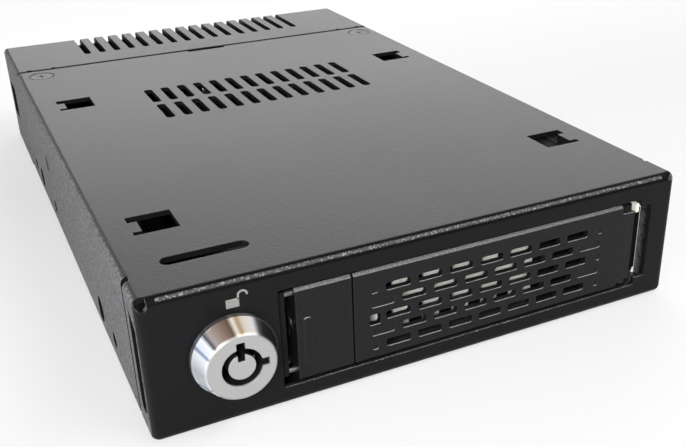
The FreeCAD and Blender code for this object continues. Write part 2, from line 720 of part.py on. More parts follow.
bore = s.rotor_radius + 0.08
seat = 1.5
lock = Piece("lock_body", s.lock_x, 0.0, lock_z)
lock.turn("Revolution", "turned", "YZ", "H_Axis",
          outline((-s.lock_proud, s.keyway_radius), (-s.lock_proud, s.nose_radius - 0.35),
                  (-s.lock_proud + 0.35, s.nose_radius), (-s.flange_height, s.flange_radius - 0.15),
                  (-s.flange_height, s.flange_radius), (0.0, s.flange_radius),
                  (0.0, s.barrel_radius), (s.barrel_length, s.barrel_radius),
                  (s.barrel_length, bore), (seat, bore), (seat, s.keyway_radius)))
half = s.notch_width / 2
lock.pocket("notch_up", "XZ", -s.lock_proud - 1, -s.lock_proud + 3.8,
            rectangle(-half, 1.0, half, s.notch_reach))
lock.pocket("notch_side", "XZ", -s.lock_proud - 1, -s.lock_proud + 3.8,
            rectangle(1.0, -half, s.notch_reach, half))
keep(lock)

nut = Piece("lock_nut", s.lock_x, 0.0, lock_z)
flat = s.nut_flats / 2
point = flat * 1.1547005
nut.pad("hexagon", "XZ", s.sheet, s.sheet + s.nut_height,
        outline((0.0, point), (-flat, point / 2), (-flat, -point / 2), (0.0, -point),
                (flat, -point / 2), (flat, point / 2)))
nut.pocket("bore", "XZ", s.sheet - 1, s.sheet + s.nut_height + 1,
           circle(0.0, 0.0, s.barrel_radius + 0.05))
keep(nut)

hub_end = s.barrel_length + 0.7
plug = Piece("lock_plug", s.lock_x, 0.0, lock_z)
plug.turn("Revolution", "turned", "YZ", "H_Axis",
          outline((-s.lock_proud + 0.2, 0.0), (-s.lock_proud + 0.2, s.post_radius),
                  (seat + 0.1, s.post_radius), (seat + 0.1, s.rotor_radius),
                  (s.barrel_length + 0.1, s.rotor_radius), (s.barrel_length + 0.1, 2.6),
                  (hub_end, 2.6), (hub_end, 1.9), (hub_end + s.cam_sheet, 1.9),
                  (hub_end + s.cam_sheet, 1.0), (hub_end - 2, 1.0), (hub_end - 2, 0.0)))
plug.pocket("post_notch", "XZ", -s.lock_proud - 1, -s.lock_proud + 3.8,
            rectangle(-0.575, 0.96, 0.575, 3.0))
keep(plug)

pin_ring = (s.keyway_radius + s.post_radius) / 2
pins = []
for turn in (-0.975, -0.782, 0.782, 0.975, 0.434, -0.434, 0.0):
    other = {0.975: -0.222, 0.782: 0.623, 0.434: -0.901, 0.0: 1.0}[abs(turn)]
    pins.append(rod(s.lock_x + pin_ring * turn, -1.6, lock_z + pin_ring * other, 0.4,
                    seat + 1.7, "Y"))
finish("lock_pins", group(*pins))

cam = Piece("lock_cam", s.lock_x, 0.0, lock_z)
reach = s.cam_reach - 1.2
cam.pad("arm", "XZ", hub_end, hub_end + s.cam_sheet,
        outline((-s.cam_width / 2, -3.4), (s.cam_width / 2, -3.4),
                (s.cam_width / 2, reach), (s.cam_width / 2 - 1.2, s.cam_reach),
                (-s.cam_width / 2 + 1.2, s.cam_reach), (-s.cam_width / 2, reach)))
cam.pocket("hole", "XZ", hub_end - 1, hub_end + s.cam_sheet + 1, circle(0.0, 0.0, 1.95))
keep(cam)

finish("cam_screw", fuse(
    rod(s.lock_x, hub_end - 1.9, lock_z, 0.95, s.cam_sheet + 2, "Y"),
    rod(s.lock_x, hub_end + s.cam_sheet + 0.02, lock_z, 2.8, 1.3, "Y")))

# Tray: bare zinc plated sheet with side walls and a bent up front

tray = Piece("tray_body")
tray.pad("floor", "XY", tray_low, tray_floor,
         rectangle(tray_left, s.vent_plate, tray_right, tray_end))
tray.pad("tongue", "XY", tray_low, tray_floor,
         outline((pin_x - 1.2, s.vent_plate + 1), (pin_x - 1.2, pin_y - 0.6),
                 (pin_x - 0.6, pin_y - 1.2), (pin_x + 0.6, pin_y - 1.2),
                 (pin_x + 1.2, pin_y - 0.6), (pin_x + 1.2, s.vent_plate + 1)))
wall_top = tray_floor + s.tray_wall
tray.pad("wall_left", "YZ", tray_left, tray_left + s.tray_sheet,
         outline((s.vent_plate, tray_low), (tray_end, tray_low), (tray_end, wall_top),
                 (s.frame_rear + 4, wall_top), (s.frame_rear + 0.5, tray_high),
                 (s.vent_plate, tray_high)))
tray.pad("wall_right", "YZ", tray_right - s.tray_sheet, tray_right,
         outline((s.face_set + 0.1, tray_low), (tray_end, tray_low), (tray_end, wall_top),
                 (s.frame_rear + 4, wall_top), (s.frame_rear + 0.5, tray_high),
                 (s.face_set + 0.1, tray_high)))
plate_end = grille_first + grille_pitch * 5
tray.pad("front_plate", "XZ", s.vent_plate, s.vent_plate + s.tray_sheet,
         rectangle(latch_start + 0.5, tray_low, plate_end, tray_high - 0.4))
tray.fillet("bends", s.tray_sheet - 0.1, (tray_left, None, tray_low), (tray_right, None, tray_low))
hole_first = grille_first - grille_pitch * 2 - 0.6
hole_rows = (("low", tray_floor + 0.2, face_middle - 2.5),
             ("high", face_middle + 0.5, tray_high - 2.6))
for label, low, high in hole_rows:
    hole = tray.pocket("plate_hole_" + label, "XZ", s.vent_plate - 1,
                       s.vent_plate + s.tray_sheet + 0.05,
                       rounded(hole_first - 0.9, low, hole_first + 2.1, high, 0.5))
    tray.row("plate_holes_" + label, hole, "X", 7, grille_pitch)
cam_low = lock_z - 4.2
cam_front = hub_end - 0.6
tray.pocket("cam_notch", "YZ", tray_left - 1, tray_left + s.tray_sheet + 0.04,
            rectangle(cam_front, cam_low, cam_front + 4.4, tray_high + 1))
tray.pocket("tail_window", "YZ", tray_right - s.tray_sheet - 0.04, tray_right + 1,
            rectangle(-1.0, hub_bottom + 0.4, pin_y + s.tail_reach + 1.5, hub_top - 0.3))
tray.pocket("pin_hole", "XY", tray_low - 1, tray_floor + 1,
            circle(pin_x, pin_y, s.pin_radius + 0.05))
hole_rear = drive_end - s.drive_hole_rear
hole_side = s.drive_hole_pitch / 2
tray.pocket("drive_holes", "XY", tray_low - 1, tray_floor + 1,
            *[circle(x, y, s.drive_hole_radius)
              for x in (tray_middle - hole_side, tray_middle + hole_side)
              for y in (hole_rear, hole_rear - s.drive_hole_length)])
for side, low in (("left", tray_left - 1), ("right", tray_right - s.tray_sheet - 0.04)):
    tray.pocket("side_holes_" + side, "YZ", low, low + s.tray_sheet + 1.04,
                *[circle(y, tray_floor + 3, s.drive_hole_radius)
                  for y in (hole_rear, hole_rear - s.drive_hole_length)])
tray_vent = tray.pocket("floor_vent", "XY", tray_low - 1, tray_floor + 1,
                        slot(34.0, 30.0, 37.0, 48.0))
tray.row("floor_vents", tray_vent, "X", 6, (s.bay_width - 27.1) / 5, "Y", 3, (tray_end - 33) / 3)
keep(tray)

# Frame in the front of the tray

frame = Piece("tray_frame")
frame_low = tray_floor + 0.05
frame_high = tray_high - 0.05
frame.pad("block", "XZ", s.frame_front, s.frame_rear,
          rectangle(frame_left, frame_low, frame_right, frame_high))
cheek_right = latch_start - s.latch_travel - 0.05
frame.pad("cheek", "XZ", s.face_set + 0.6, s.vent_plate - 0.05,
          rectangle(tray_left + 0.05, frame_low, cheek_right, frame_high))
frame.pad("cheek_foot", "XZ", s.vent_plate - 0.5, s.frame_front + 1,
          rectangle(frame_left, frame_low, cheek_right, frame_high))
frame.pad("arm", "XY", hub_top + 0.1, frame_high,
          outline((pin_x - 1.2, s.frame_front + 1), (pin_x - 1.2, pin_y - 0.6),
                  (pin_x - 0.6, pin_y - 1.2), (pin_x + 0.6, pin_y - 1.2),
                  (pin_x + 1.2, pin_y - 0.6), (pin_x + 1.2, s.frame_front + 1)))
frame.pocket("tail_room", "XZ", s.frame_front - 1, s.frame_front + 2,
             rectangle(pin_x - 3.2, hub_bottom + 0.3, frame_right + 1, hub_top - 0.2))
for label, low, high in hole_rows:
    hole = frame.pocket("air_hole_" + label, "XZ", s.frame_front - 1, s.frame_rear + 1,
                        rounded(hole_first - 0.9, low, hole_first + 2.1, high, 0.5))
    frame.row("air_holes_" + label, hole, "X", 9, grille_pitch)
frame.pocket("cam_notch", "XZ", cam_front, s.frame_rear + 1,
             rectangle(frame_left - 1, cam_low, s.lock_x + s.cam_reach + 0.6, frame_high + 1))
frame.pocket("pin_hole", "XY", hub_top, frame_high + 1,
             circle(pin_x, pin_y, s.pin_radius + 0.05))
rod_low = face_low + s.rod_edge
rod_high = face_high - s.rod_edge
rod_y = s.face_set + 1.5
frame.pocket("rod_holes", "YZ", tray_left - 1, cheek_right + 0.5,
             circle(rod_y, rod_low, s.rod_radius + 0.04),
             circle(rod_y, rod_high, s.rod_radius + 0.04))
rivet_left = s.frame_front + 1.6
rivet_right = s.frame_rear - 1.6
rivet_low = tray_floor + 2.2
rivet_high = tray_high - 2.2
frame.pocket("rivet_holes_left", "YZ", tray_left, frame_left + 2,
             circle(rivet_left, rivet_low, 0.95), circle(rivet_left, rivet_high, 0.95))
frame.pocket("rivet_holes_right", "YZ", frame_right - 2, tray_right,
             circle(rivet_right, rivet_low, 0.95), circle(rivet_right, rivet_high, 0.95))
tray.pocket("rivet_holes_left", "YZ", tray_left - 1, tray_left + 1,
            circle(rivet_left, rivet_low, 0.95), circle(rivet_left, rivet_high, 0.95))
tray.pocket("rivet_holes_right", "YZ", tray_right - 1, tray_right + 1,
            circle(rivet_right, rivet_low, 0.95), circle(rivet_right, rivet_high, 0.95))
keep(frame)

finish("frame_rivets", group(
    *[rod(tray_left, rivet_left, z, 0.9, 2.4, "X") for z in (rivet_low, rivet_high)],
    *[rod(tray_right - 2.4, rivet_right, z, 0.9, 2.4, "X") for z in (rivet_low, rivet_high)]))

finish("hinge_pin", group(rod(pin_x, pin_y, tray_low, s.pin_radius, frame_high - tray_low)))

rod_reach = s.latch_left + s.latch_width - 3.4
finish("latch_rods", group(
    rod(tray_left + 0.05, rod_y, rod_low, s.rod_radius, rod_reach, "X"),
    rod(tray_left + 0.05, rod_y, rod_high, s.rod_radius, rod_reach, "X")))

# Lever: hinged at the right, with the brick pattern of slots

lever = Piece("lever")
lever.pad("block", "XZ", s.face_set, face_back,
          rectangle(lever_start, face_low, pin_x, face_high))
lever.pocket("hollow", "XZ", s.face_set + s.lever_plate, face_back + 1,
             rectangle(lever_start + s.rim, face_low + s.rim, pin_x - 3.2, face_high - s.rim))
lever.pocket("corner_high", "XZ", s.face_set - 1, face_back + 1,
             rectangle(pin_x - 1.5, hub_top, pin_x + 1, face_high + 1))
lever.pocket("corner_low", "XZ", s.face_set - 1, face_back + 1,
             rectangle(pin_x - 1.5, face_low - 1, pin_x + 1, hub_bottom))
lever.pad("hub", "XY", hub_bottom, hub_top, circle(pin_x, pin_y, s.hub_radius))
tail_half = s.tail_thickness / 2
lever.pad("tail", "XY", hub_bottom + 0.8, hub_top - 0.7,
          outline((pin_x, pin_y), (pin_x + 0.3, pin_y - 0.9),
                  (pin_x + s.tail_reach, pin_y + s.tail_set - 0.8),
                  (pin_x + s.tail_reach, pin_y + s.tail_set + 0.4),
                  (pin_x + s.tail_reach - 0.9, pin_y + s.tail_set + 0.8),
                  (pin_x - 0.3, pin_y + 0.9)))
lever.pocket("back_of_hub", "XY", hub_bottom - 2, hub_top + 3,
             rectangle(pin_x - 3.0, pin_y + s.hub_radius, pin_x + 0.01, face_back + 1))
lever.pocket("pin_bore", "XY", hub_bottom - 1, hub_top + 1,
             circle(pin_x, pin_y, s.pin_radius + 0.08))
lever.chamfer("bevel", s.bevel, (None, s.face_set, face_high))
half_slot = grille_slot / 2
half_high = s.slot_height / 2
plate_back = s.face_set + s.lever_plate + 1
odd = lever.pocket("slot_odd", "XZ", s.face_set - 1, plate_back,
                   rounded(grille_first - half_slot, row_first - half_high,
                           grille_first + half_slot, row_first + half_high, s.slot_corner))
lever.row("slots_odd", odd, "X", 7, grille_pitch, "Z", 3, row_pitch * 2)
even_first = grille_first + grille_pitch / 2
even_row = row_first + row_pitch
even = lever.pocket("slot_even", "XZ", s.face_set - 1, plate_back,
                    rounded(even_first - half_slot, even_row - half_high,
                            even_first + half_slot, even_row + half_high, s.slot_corner))
lever.row("slots_even", even, "X", 6, grille_pitch, "Z", 2, row_pitch * 2)
blind_x = even_first - grille_pitch
blind_end = even_first + grille_pitch * 6
blind = lever.pocket("blind_even", "XZ", s.face_set - 1, s.face_set + s.blind_depth,
                     rounded(blind_x - half_slot + 0.3, even_row - half_high,
                             blind_x + half_slot, even_row + half_high, s.slot_corner),
                     rounded(blind_end - half_slot, even_row - half_high,
                             blind_end + half_slot, even_row + half_high, s.slot_corner))
lever.row("blinds_even", blind, "Z", 2, row_pitch * 2)
clip_left = grille_first - 5.07
clip_right = pin_x - 7
clipped = lever.pocket("blind_odd", "XZ", s.face_set - 1, s.face_set + s.blind_depth,
                       rounded(clip_left, row_first - half_high, clip_left + 1.3,
                               row_first + half_high, 0.4),
                       rounded(clip_right, row_first - half_high, clip_right + 0.9,
                               row_first + half_high, 0.3))
lever.row("blinds_odd", clipped, "Z", 3, row_pitch * 2)
hole_low = row_first + 4.15
lever.pocket("square_hole", "XZ", s.face_set - 1, plate_back,
             rounded(clip_left - 0.4, hole_low, clip_left + 1.7, hole_low + 2.1, 0.3))
keep(lever)

# Latch: slides to the left on two rods

latch = Piece("latch_button")
latch.pad("block", "XZ", s.face_set, face_back,
          rectangle(latch_start, face_low, latch_end, face_high))
latch.pad("ridge", "XZ", s.face_set - s.ridge_height, s.face_set + 0.2,
          rounded(latch_start + 1.15, 6.8, latch_start + 2.65, 15.4, 0.6))
latch.pad("catch", "XY", 10.0, 15.0,
          outline((latch_end - 0.5, 2.2), (latch_end, 2.2), (latch_end + 0.17, 2.4),
                  (latch_end + 0.17, 3.2), (latch_end - 0.5, 3.2)))
latch.chamfer("bevel", s.bevel, (None, s.face_set, face_high))
latch.pocket("rod_bores", "YZ", latch_start - 1, latch_end - 1.4,
             circle(rod_y, rod_low, s.rod_radius + 0.06),
             circle(rod_y, rod_high, s.rod_radius + 0.06))
spring_y = s.face_set + 2.0
spring_z = 14.2
latch.pocket("spring_bore", "YZ", latch_start - 1, latch_start + 4.6,
             circle(spring_y, spring_z, 1.35))
keep(latch)


def coil(name, x, y, z, rotation, radius, wire, reach, turns):
    """A coil spring that stands on the given point along its own axis."""
    spring = Piece(name, x, y, z, rotation)
    sketch = spring.sketch("wire", "XZ", 0.0, [circle(radius, wire, wire)])
    feature = spring.body.newObject("PartDesign::AdditiveHelix", name + "_coil")
    feature.Profile = sketch
    feature.ReferenceAxis = (sketch, ["V_Axis"])
    feature.Mode = 0
    feature.Pitch = (number(reach) - number(wire) * 2) / turns
    bind(feature, "Pitch", (reach - wire * 2) / turns)
    feature.Height = number(reach) - number(wire) * 2
    bind(feature, "Height", reach - wire * 2)
    keep(spring)


coil("latch_spring", cheek_right + 0.02, spring_y, spring_z,
     FreeCAD.Rotation(FreeCAD.Vector(0, 1, 0), 90), 1.0, 0.16,
     latch_start + 4.6 - cheek_right - 0.04, 4)
coil("kick_spring", lever_start + 2.1, s.vent_plate - 0.02, 8.4,
     FreeCAD.Rotation(FreeCAD.Vector(1, 0, 0), 90), 1.0, 0.2,
     s.vent_plate - s.face_set - s.lever_plate - 0.12, 3)

# Circuit board with the socket for the drive and the connectors at the rear

board = Piece("main_board")
board_left = 9.0
board_right = width - 9
board_rear = length - s.sheet - 1.5
board.pad("plate", "XY", board_low, board_top,
          rectangle(board_left, board_front, board_right, board_rear))
board_spots = [(x, y) for x in (board_left + 4, board_right - 4)
               for y in (board_front + 4, board_rear - 4)]
board.pocket("holes", "XY", board_low - 1, board_top + 1,
             *[circle(x, y, 1.35) for x, y in board_spots])
keep(board)
finish("board_standoffs", group(
    *[cut(rod(x, y, s.sheet, 2.6, s.standoff), rod(x, y, s.sheet - 1, 1.25, s.standoff + 2))
      for x, y in board_spots]))
finish("board_screws", group(
    *[fuse(rod(x, y, board_top, 2.3, 1.5), rod(x, y, s.sheet + 0.2, 1.2, s.standoff + 2))
      for x, y in board_spots]))

socket = Piece("drive_socket")
socket_left = tray_middle - s.socket_width / 2
socket_high = board_top + 6.2
socket.pad("body", "XZ", drive_end + 0.2, board_front + 4.5,
           rectangle(socket_left, board_top, socket_left + s.socket_width, socket_high))
split = socket_left + 13.2
socket.pocket("data_mouth", "XZ", drive_end - 1, board_front + 2.5,
              rectangle(socket_left + 2, board_top + 2, split - 1.4, board_top + 4.2))
socket.pocket("power_mouth", "XZ", drive_end - 1, board_front + 2.5,
              rectangle(split, board_top + 2, socket_left + s.socket_width - 2, board_top + 4.2))
keep(socket)
contacts = []
for first, count in ((socket_left + 2.6, 7), (split + 3.6, 15)):
    for index in range(count):
        x = first + 1.27 * index
        contacts.append(block(x, drive_end + 0.8, board_top + 2, x + 0.6, board_front + 2.4,
                              board_top + 2.35))
finish("socket_contacts", group(*contacts))


def connector(name, left, right, mouth):
    """A board connector that reaches into an opening of the rear wall."""
    shell = Piece(name)
    shell.pad("body", "XZ", length - 12, length - 0.2,
              rectangle(left, board_top, right, board_top + 7))
    shell.pocket("mouth", "XZ", length - 7, length + 1,
                 rectangle(left + 1.2, board_top + 1.4, right - 1.2, board_top + 5.6))
    shell.pad("tongue", "XZ", length - 7.5, length - 1,
              rectangle(left + 2.2, board_top + 3, left + 2.2 + mouth, board_top + 4.1))
    keep(shell)


connector("data_connector", 28.0, 42.0, 9.4)
connector("power_connector", 57.0, 83.0, 21.4)

finish("capacitors", group(
    rod(20.0, board_front + 8, board_top, 3.1, 7.7),
    rod(20.0, board_front + 16, board_top, 3.1, 7.7),
    rod(80.0, board_front + 9, board_top, 2.5, 5.5)))
finish("controller_chip", group(
    block(47.0, board_front + 14, board_top, 57.0, board_front + 24, board_top + 1.2)))

doc.recompute()
os.makedirs("parts", exist_ok=True)
broken = [item.Label for item in doc.Objects
          if "Invalid" in item.State or "Error" in item.State]
if broken:
    raise RuntimeError("not built: " + ", ".join(broken))
for name, item in nodes:
    if item.Shape.isNull() or not item.Shape.isValid():
        raise RuntimeError("%s has no valid shape" % name)
    item.Shape.exportStep("parts/%s.step" % name)
    box = item.Shape.BoundBox
    print("%-18s %2d solids  x %6.1f %6.1f  y %6.1f %6.1f  z %5.1f %5.1f" % (
        name, len(item.Shape.Solids), box.XMin, box.XMax, box.YMin, box.YMax, box.ZMin, box.ZMax))
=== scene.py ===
"""Looks of the hot swap drive cage: finishes, small details, camera and soft studio light."""

import logging
import math
from dataclasses import dataclass, field
from enum import Enum

import bpy
import numpy as np
from mathutils import Euler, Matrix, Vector


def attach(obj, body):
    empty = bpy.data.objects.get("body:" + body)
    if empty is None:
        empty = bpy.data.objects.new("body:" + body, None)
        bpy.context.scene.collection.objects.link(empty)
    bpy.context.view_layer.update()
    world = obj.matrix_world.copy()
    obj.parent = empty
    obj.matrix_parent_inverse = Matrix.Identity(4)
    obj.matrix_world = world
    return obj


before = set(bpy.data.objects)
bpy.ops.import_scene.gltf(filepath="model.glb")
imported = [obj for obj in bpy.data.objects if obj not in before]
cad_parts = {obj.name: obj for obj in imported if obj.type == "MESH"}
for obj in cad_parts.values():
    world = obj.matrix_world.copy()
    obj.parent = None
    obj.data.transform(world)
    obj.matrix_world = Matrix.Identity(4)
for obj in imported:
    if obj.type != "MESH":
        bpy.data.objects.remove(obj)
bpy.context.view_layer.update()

MM = 0.001
# Where the row frame's origin lies from the front left corner of the case, in millimetres.
HALF_WIDTH = 50.8
FRONT = 78.75
RIGHT, BACK, UP = np.eye(3)
log = logging.getLogger("drive_cage")

Colour = tuple[float, float, float]
Spot = tuple[float, float, float]
Span = tuple[float, float]
Socket = bpy.types.NodeSocket
Mesh = tuple[np.ndarray, np.ndarray]

# The two ways that a mask runs.
RISE: Span = (0.0, 1.0)
FALL: Span = (1.0, 0.0)


def at(x: float | np.ndarray, y: float | np.ndarray, z: float | np.ndarray) -> np.ndarray:
    """Turns millimetres from the lower left front corner of the case into the row frame.

    Args:
        x: Distance from the left side, seen from the front.
        y: Distance behind the front face.
        z: Height above the underside.

    Returns:
        The point in metres, or one row for each point where an array is given.
    """
    return np.stack(np.broadcast_arrays(x - HALF_WIDTH, y - FRONT, z), axis=-1) * MM


def depth_at(y: float) -> float:
    """Gives the row frame's Y, in metres, of a distance behind the front in millimetres."""
    return float(at(0.0, y, 0.0)[1])


def metres(first: float, second: float) -> Span:
    """Turns two lengths in millimetres into metres."""
    return first * MM, second * MM


def scaled(colour: Colour, gain: float, lift: float = 0.0) -> Colour:
    """Makes a colour lighter or darker, held at white.

    Args:
        colour: The colour.
        gain: What each channel is multiplied by.
        lift: What is added to each channel after that.

    Returns:
        The new colour.
    """
    return tuple(min(1.0, channel * gain + lift) for channel in colour)


class Body(Enum):
    """The rigid bodies that the new pieces ride on."""

    CASE = "case"
    LEVER = "lever"


class Shading(Enum):
    """How a new surface is shaded."""

    FLAT = "flat"
    SMOOTH = "smooth"


class Kind(Enum):
    """What a socket of a node group carries."""

    NUMBER = "NodeSocketFloat"
    NORMAL = "NodeSocketVector"


@dataclass
class Tree:
    """A node tree with short calls for adding and joining nodes."""

    nodes_of: bpy.types.NodeTree

    def add(self, kind: str, **settings: object) -> bpy.types.Node:
        """Adds a node and sets its properties.

        Args:
            kind: The node's type name without its prefix.
            settings: Properties by name.

        Returns:
            The new node.
        """
        node = self.nodes_of.nodes.new("ShaderNode" + kind)
        for name, value in settings.items():
            setattr(node, name, value)
        return node

    def join(self, source: Socket, target: Socket) -> None:
        """Links an output to an input."""
        self.nodes_of.links.new(source, target)

    def feed(self, target: Socket, value: object) -> None:
        """Links an output to an input, or sets the input to a plain value.

        Args:
            target: The input.
            value: An output, a number, a vector or a colour of three channels.
        """
        if isinstance(value, Socket):
            self.join(value, target)
        elif target.type == "RGBA":
            target.default_value = (*value, 1.0)
        else:
            target.default_value = value

    def calc(self, operation: str, first: object, second: object = 0.0) -> Socket:
        """Puts two values through a Math node.

        Args:
            operation: The Math node's operation.
            first: A number or an output.
            second: A number or an output.

        Returns:
            The node's output.
        """
        node = self.add("Math", operation=operation)
        self.feed(node.inputs[0], first)
        self.feed(node.inputs[1], second)
        return node.outputs[0]

    def product(self, first: Socket, *others: object) -> Socket:
        """Multiplies values one after the other.

        Args:
            first: An output.
            others: Numbers or outputs.

        Returns:
            The last node's output.
        """
        for other in others:
            first = self.calc("MULTIPLY", first, other)
        return first

    def length(self, across: Socket, up: Socket) -> Socket:
        """Gives the length of the longest side over two that stand square to each other."""
        return self.calc("SQRT", self.calc("ADD", self.product(across, across),
                                           self.product(up, up)))

    def dot(self, first: Socket, second: object) -> Socket:
        """Takes the dot product of two vectors.

        Args:
            first: An output.
            second: An output or a plain vector.

        Returns:
            The node's output.
        """
        node = self.add("VectorMath", operation="DOT_PRODUCT")
        self.feed(node.inputs[0], first)
        self.feed(node.inputs[1], second)
        return node.outputs["Value"]

    def noise(self, vector: Socket, scale: object, detail: float = 2.0,
              rough: float = 0.5) -> Socket:
        """Adds a Noise Texture.

        Args:
            vector: The point that it reads.
            scale: Grains in a metre, a number or an output.
            detail: Number of finer layers.
            rough: How much the finer layers count.

        Returns:
            The texture's value.
        """
        node = self.add("TexNoise")
        for name, value in (("Vector", vector), ("Scale", scale), ("Detail", detail),
                            ("Roughness", rough)):
            self.feed(node.inputs[name], value)
        return node.outputs["Fac"]

    def spread(self, value: Socket, span: Span = RISE, out: Span = RISE) -> Socket:
        """Carries a value from one span to another, held at its ends.

        Args:
            value: The output that is read.
            span: The values that are carried to the ends of the other span.
            out: What those two become.

        Returns:
            The carried value.
        """
        node = self.add("MapRange")
        for name, number in zip(("Value", "From Min", "From Max", "To Min", "To Max"),
                                (value, *span, *out)):
            self.feed(node.inputs[name], number)
        return node.outputs["Result"]

    def blend(self, amount: Socket, first: object, second: object) -> Socket:
        """Mixes two colours.

        Args:
            amount: From 0, all of the first, to 1, all of the second.
            first: A colour or an output.
            second: A colour or an output.

        Returns:
            The mixed colour.
        """
        node = self.add("Mix", data_type="RGBA")
        # A Mix node keeps its colours behind the inputs for numbers and vectors.
        for index, value in ((0, amount), (6, first), (7, second)):
            self.feed(node.inputs[index], value)
        return node.outputs[2]

    def point(self) -> Socket:
        """Gives the point on the piece in Object coordinates."""
        return self.add("TexCoord").outputs["Object"]

    def normal(self) -> Socket:
        """Gives the surface's normal."""
        return self.add("NewGeometry").outputs["Normal"]

    def split(self, vector: Socket) -> bpy.types.bpy_prop_collection:
        """Takes a vector apart.

        Args:
            vector: An output.

        Returns:
            The outputs named X, Y and Z.
        """
        node = self.add("SeparateXYZ")
        self.join(vector, node.inputs[0])
        return node.outputs


class Effect:
    """A shared effect: a node group with named inputs and outputs."""

    def __init__(self, name: str, inputs: dict[str, float], outputs: dict[str, Kind]) -> None:
        """Makes the empty group.

        Args:
            name: The group's name.
            inputs: Numbers by name, with their defaults.
            outputs: What each output carries, by name.
        """
        self.group = bpy.data.node_groups.new(name, "ShaderNodeTree")
        self.tree = Tree(self.group)
        for label, default in inputs.items():
            socket = self.group.interface.new_socket(
                label, in_out="INPUT", socket_type=Kind.NUMBER.value)
            socket.default_value = default
        for label, kind in outputs.items():
            self.group.interface.new_socket(label, in_out="OUTPUT", socket_type=kind.value)
        self.given = self.group.nodes.new("NodeGroupInput").outputs
        self.result = self.group.nodes.new("NodeGroupOutput").inputs

    def put(self, label: str, source: Socket) -> None:
        """Sends a value out of the group."""
        self.tree.join(source, self.result[label])

    def place(self, tree: Tree, **values: float) -> bpy.types.bpy_prop_collection:
        """Places the group in a material with its own values.

        Args:
            tree: The material's tree.
            values: Inputs by name, with an underscore for each space.

        Returns:
            The group node's outputs.
        """
        node = tree.add("Group", node_tree=self.group)
        for label, value in values.items():
            node.inputs[label.replace("_", " ")].default_value = value
        return node.outputs


def make_pebble() -> Effect:
    """Fine pebbled skin of a powder coat.

    The height is a fine noise, the grains, plus a share of a noise about five times as coarse,
    the ripple. The tops are where the fine noise is high.

    Returns:
        The effect, with the height of the skin and a mask of its grain tops.
    """
    effect = Effect("pebble", {"Grains Per Metre": 2600.0, "Ripple": 0.35},
                    {"Height": Kind.NUMBER, "Tops": Kind.NUMBER})
    tree = effect.tree
    ripple_scale, top_span = 0.22, (0.52, 0.72)
    point = tree.point()
    size = effect.given["Grains Per Metre"]
    grain = tree.noise(point, size, rough=0.55)
    ripple = tree.noise(point, tree.product(size, ripple_scale), detail=1.0)
    effect.put("Height", tree.calc("ADD", grain, tree.product(ripple, effect.given["Ripple"])))
    effect.put("Tops", tree.spread(grain, top_span))
    return effect


def make_soft_edge() -> Effect:
    """Small rounding of every edge.

    The mask compares the rounded normal with the plain one: their dot product is 1 on a flat
    and falls towards an edge.

    Returns:
        The effect, with the rounded normal and a mask of where the edges are.
    """
    effect = Effect("soft_edge", {"Radius": 0.0002}, {"Normal": Kind.NORMAL, "Edge": Kind.NUMBER})
    tree = effect.tree
    flat, edge = 0.995, 0.8
    bevel = tree.add("Bevel", samples=6)
    tree.join(effect.given["Radius"], bevel.inputs["Radius"])
    effect.put("Normal", bevel.outputs["Normal"])
    effect.put("Edge", tree.spread(tree.dot(bevel.outputs["Normal"], tree.normal()),
                                   (flat, edge)))
    return effect


def make_bend() -> Effect:
    """Where a bend of the sheet turns between the top and the front face.

    Both masks read the dot product of the normal and the direction halfway between front and
    up, which is 1 in the middle of the bend and 0.71 at its ends.

    Returns:
        The effect, with a mask of the whole bend and one of the narrow line along its middle.
    """
    effect = Effect("bend", {}, {"Turn": Kind.NUMBER, "Line": Kind.NUMBER})
    tree = effect.tree
    turn_span, line_span = (0.74, 0.86), (0.965, 0.998)
    match = tree.dot(tree.normal(), (0.0, -math.sqrt(0.5), math.sqrt(0.5)))
    effect.put("Turn", tree.spread(match, turn_span))
    effect.put("Line", tree.spread(match, line_span))
    return effect


def make_facing() -> Effect:
    """Which way the sheet faces, told from its normal and its distance from the middle.

    Returns:
        The effect, with a mask of the outer side walls and the bends that lead to them, one of
        the front face, one of what lies between the corners, and coarse speckles.
    """
    effect = Effect("facing", {"Speckles Per Metre": 2100.0, "Outer": 0.0475},
                    {"Side": Kind.NUMBER, "Front": Kind.NUMBER, "Middle": Kind.NUMBER,
                     "Speckle": Kind.NUMBER})
    tree = effect.tree
    side_span, level_span = (0.3, 0.75), (0.1, 0.45)
    front_span, speckle_span = (-0.9, -0.6), (0.42, 0.6)
    normal = tree.split(tree.normal())
    point = tree.point()
    side = tree.spread(tree.calc("ABSOLUTE", normal["X"]), side_span)
    level = tree.spread(tree.calc("ABSOLUTE", normal["Y"]), level_span, FALL)
    outer = tree.calc("GREATER_THAN", tree.calc("ABSOLUTE", tree.split(point)["X"]),
                      effect.given["Outer"])
    effect.put("Side", tree.product(side, outer, level))
    effect.put("Front", tree.spread(normal["Y"], front_span, FALL))
    effect.put("Middle", tree.calc("SUBTRACT", 1.0, outer))
    speckle = tree.noise(point, effect.given["Speckles Per Metre"], detail=3.0, rough=0.7)
    effect.put("Speckle", tree.spread(speckle, speckle_span))
    return effect


def make_ledge() -> Effect:
    """Narrow ledges behind the front that face upward and catch the light.

    Returns:
        The effect, with a mask of what faces up between the two heights and ahead of a depth.
    """
    effect = Effect("ledge_highlight", {"Low": 0.0, "High": 0.02, "Depth": 0.0}, {"Value": Kind.NUMBER})
    tree = effect.tree
    up_span = (0.6, 0.9)
    point = tree.split(tree.point())
    up = tree.spread(tree.split(tree.normal())["Z"], up_span)
    above = tree.calc("GREATER_THAN", point["Z"], effect.given["Low"])
    below = tree.calc("LESS_THAN", point["Z"], effect.given["High"])
    ahead = tree.calc("LESS_THAN", point["Y"], effect.given["Depth"])
    effect.put("Value", tree.product(up, ahead, above, below))
    return effect


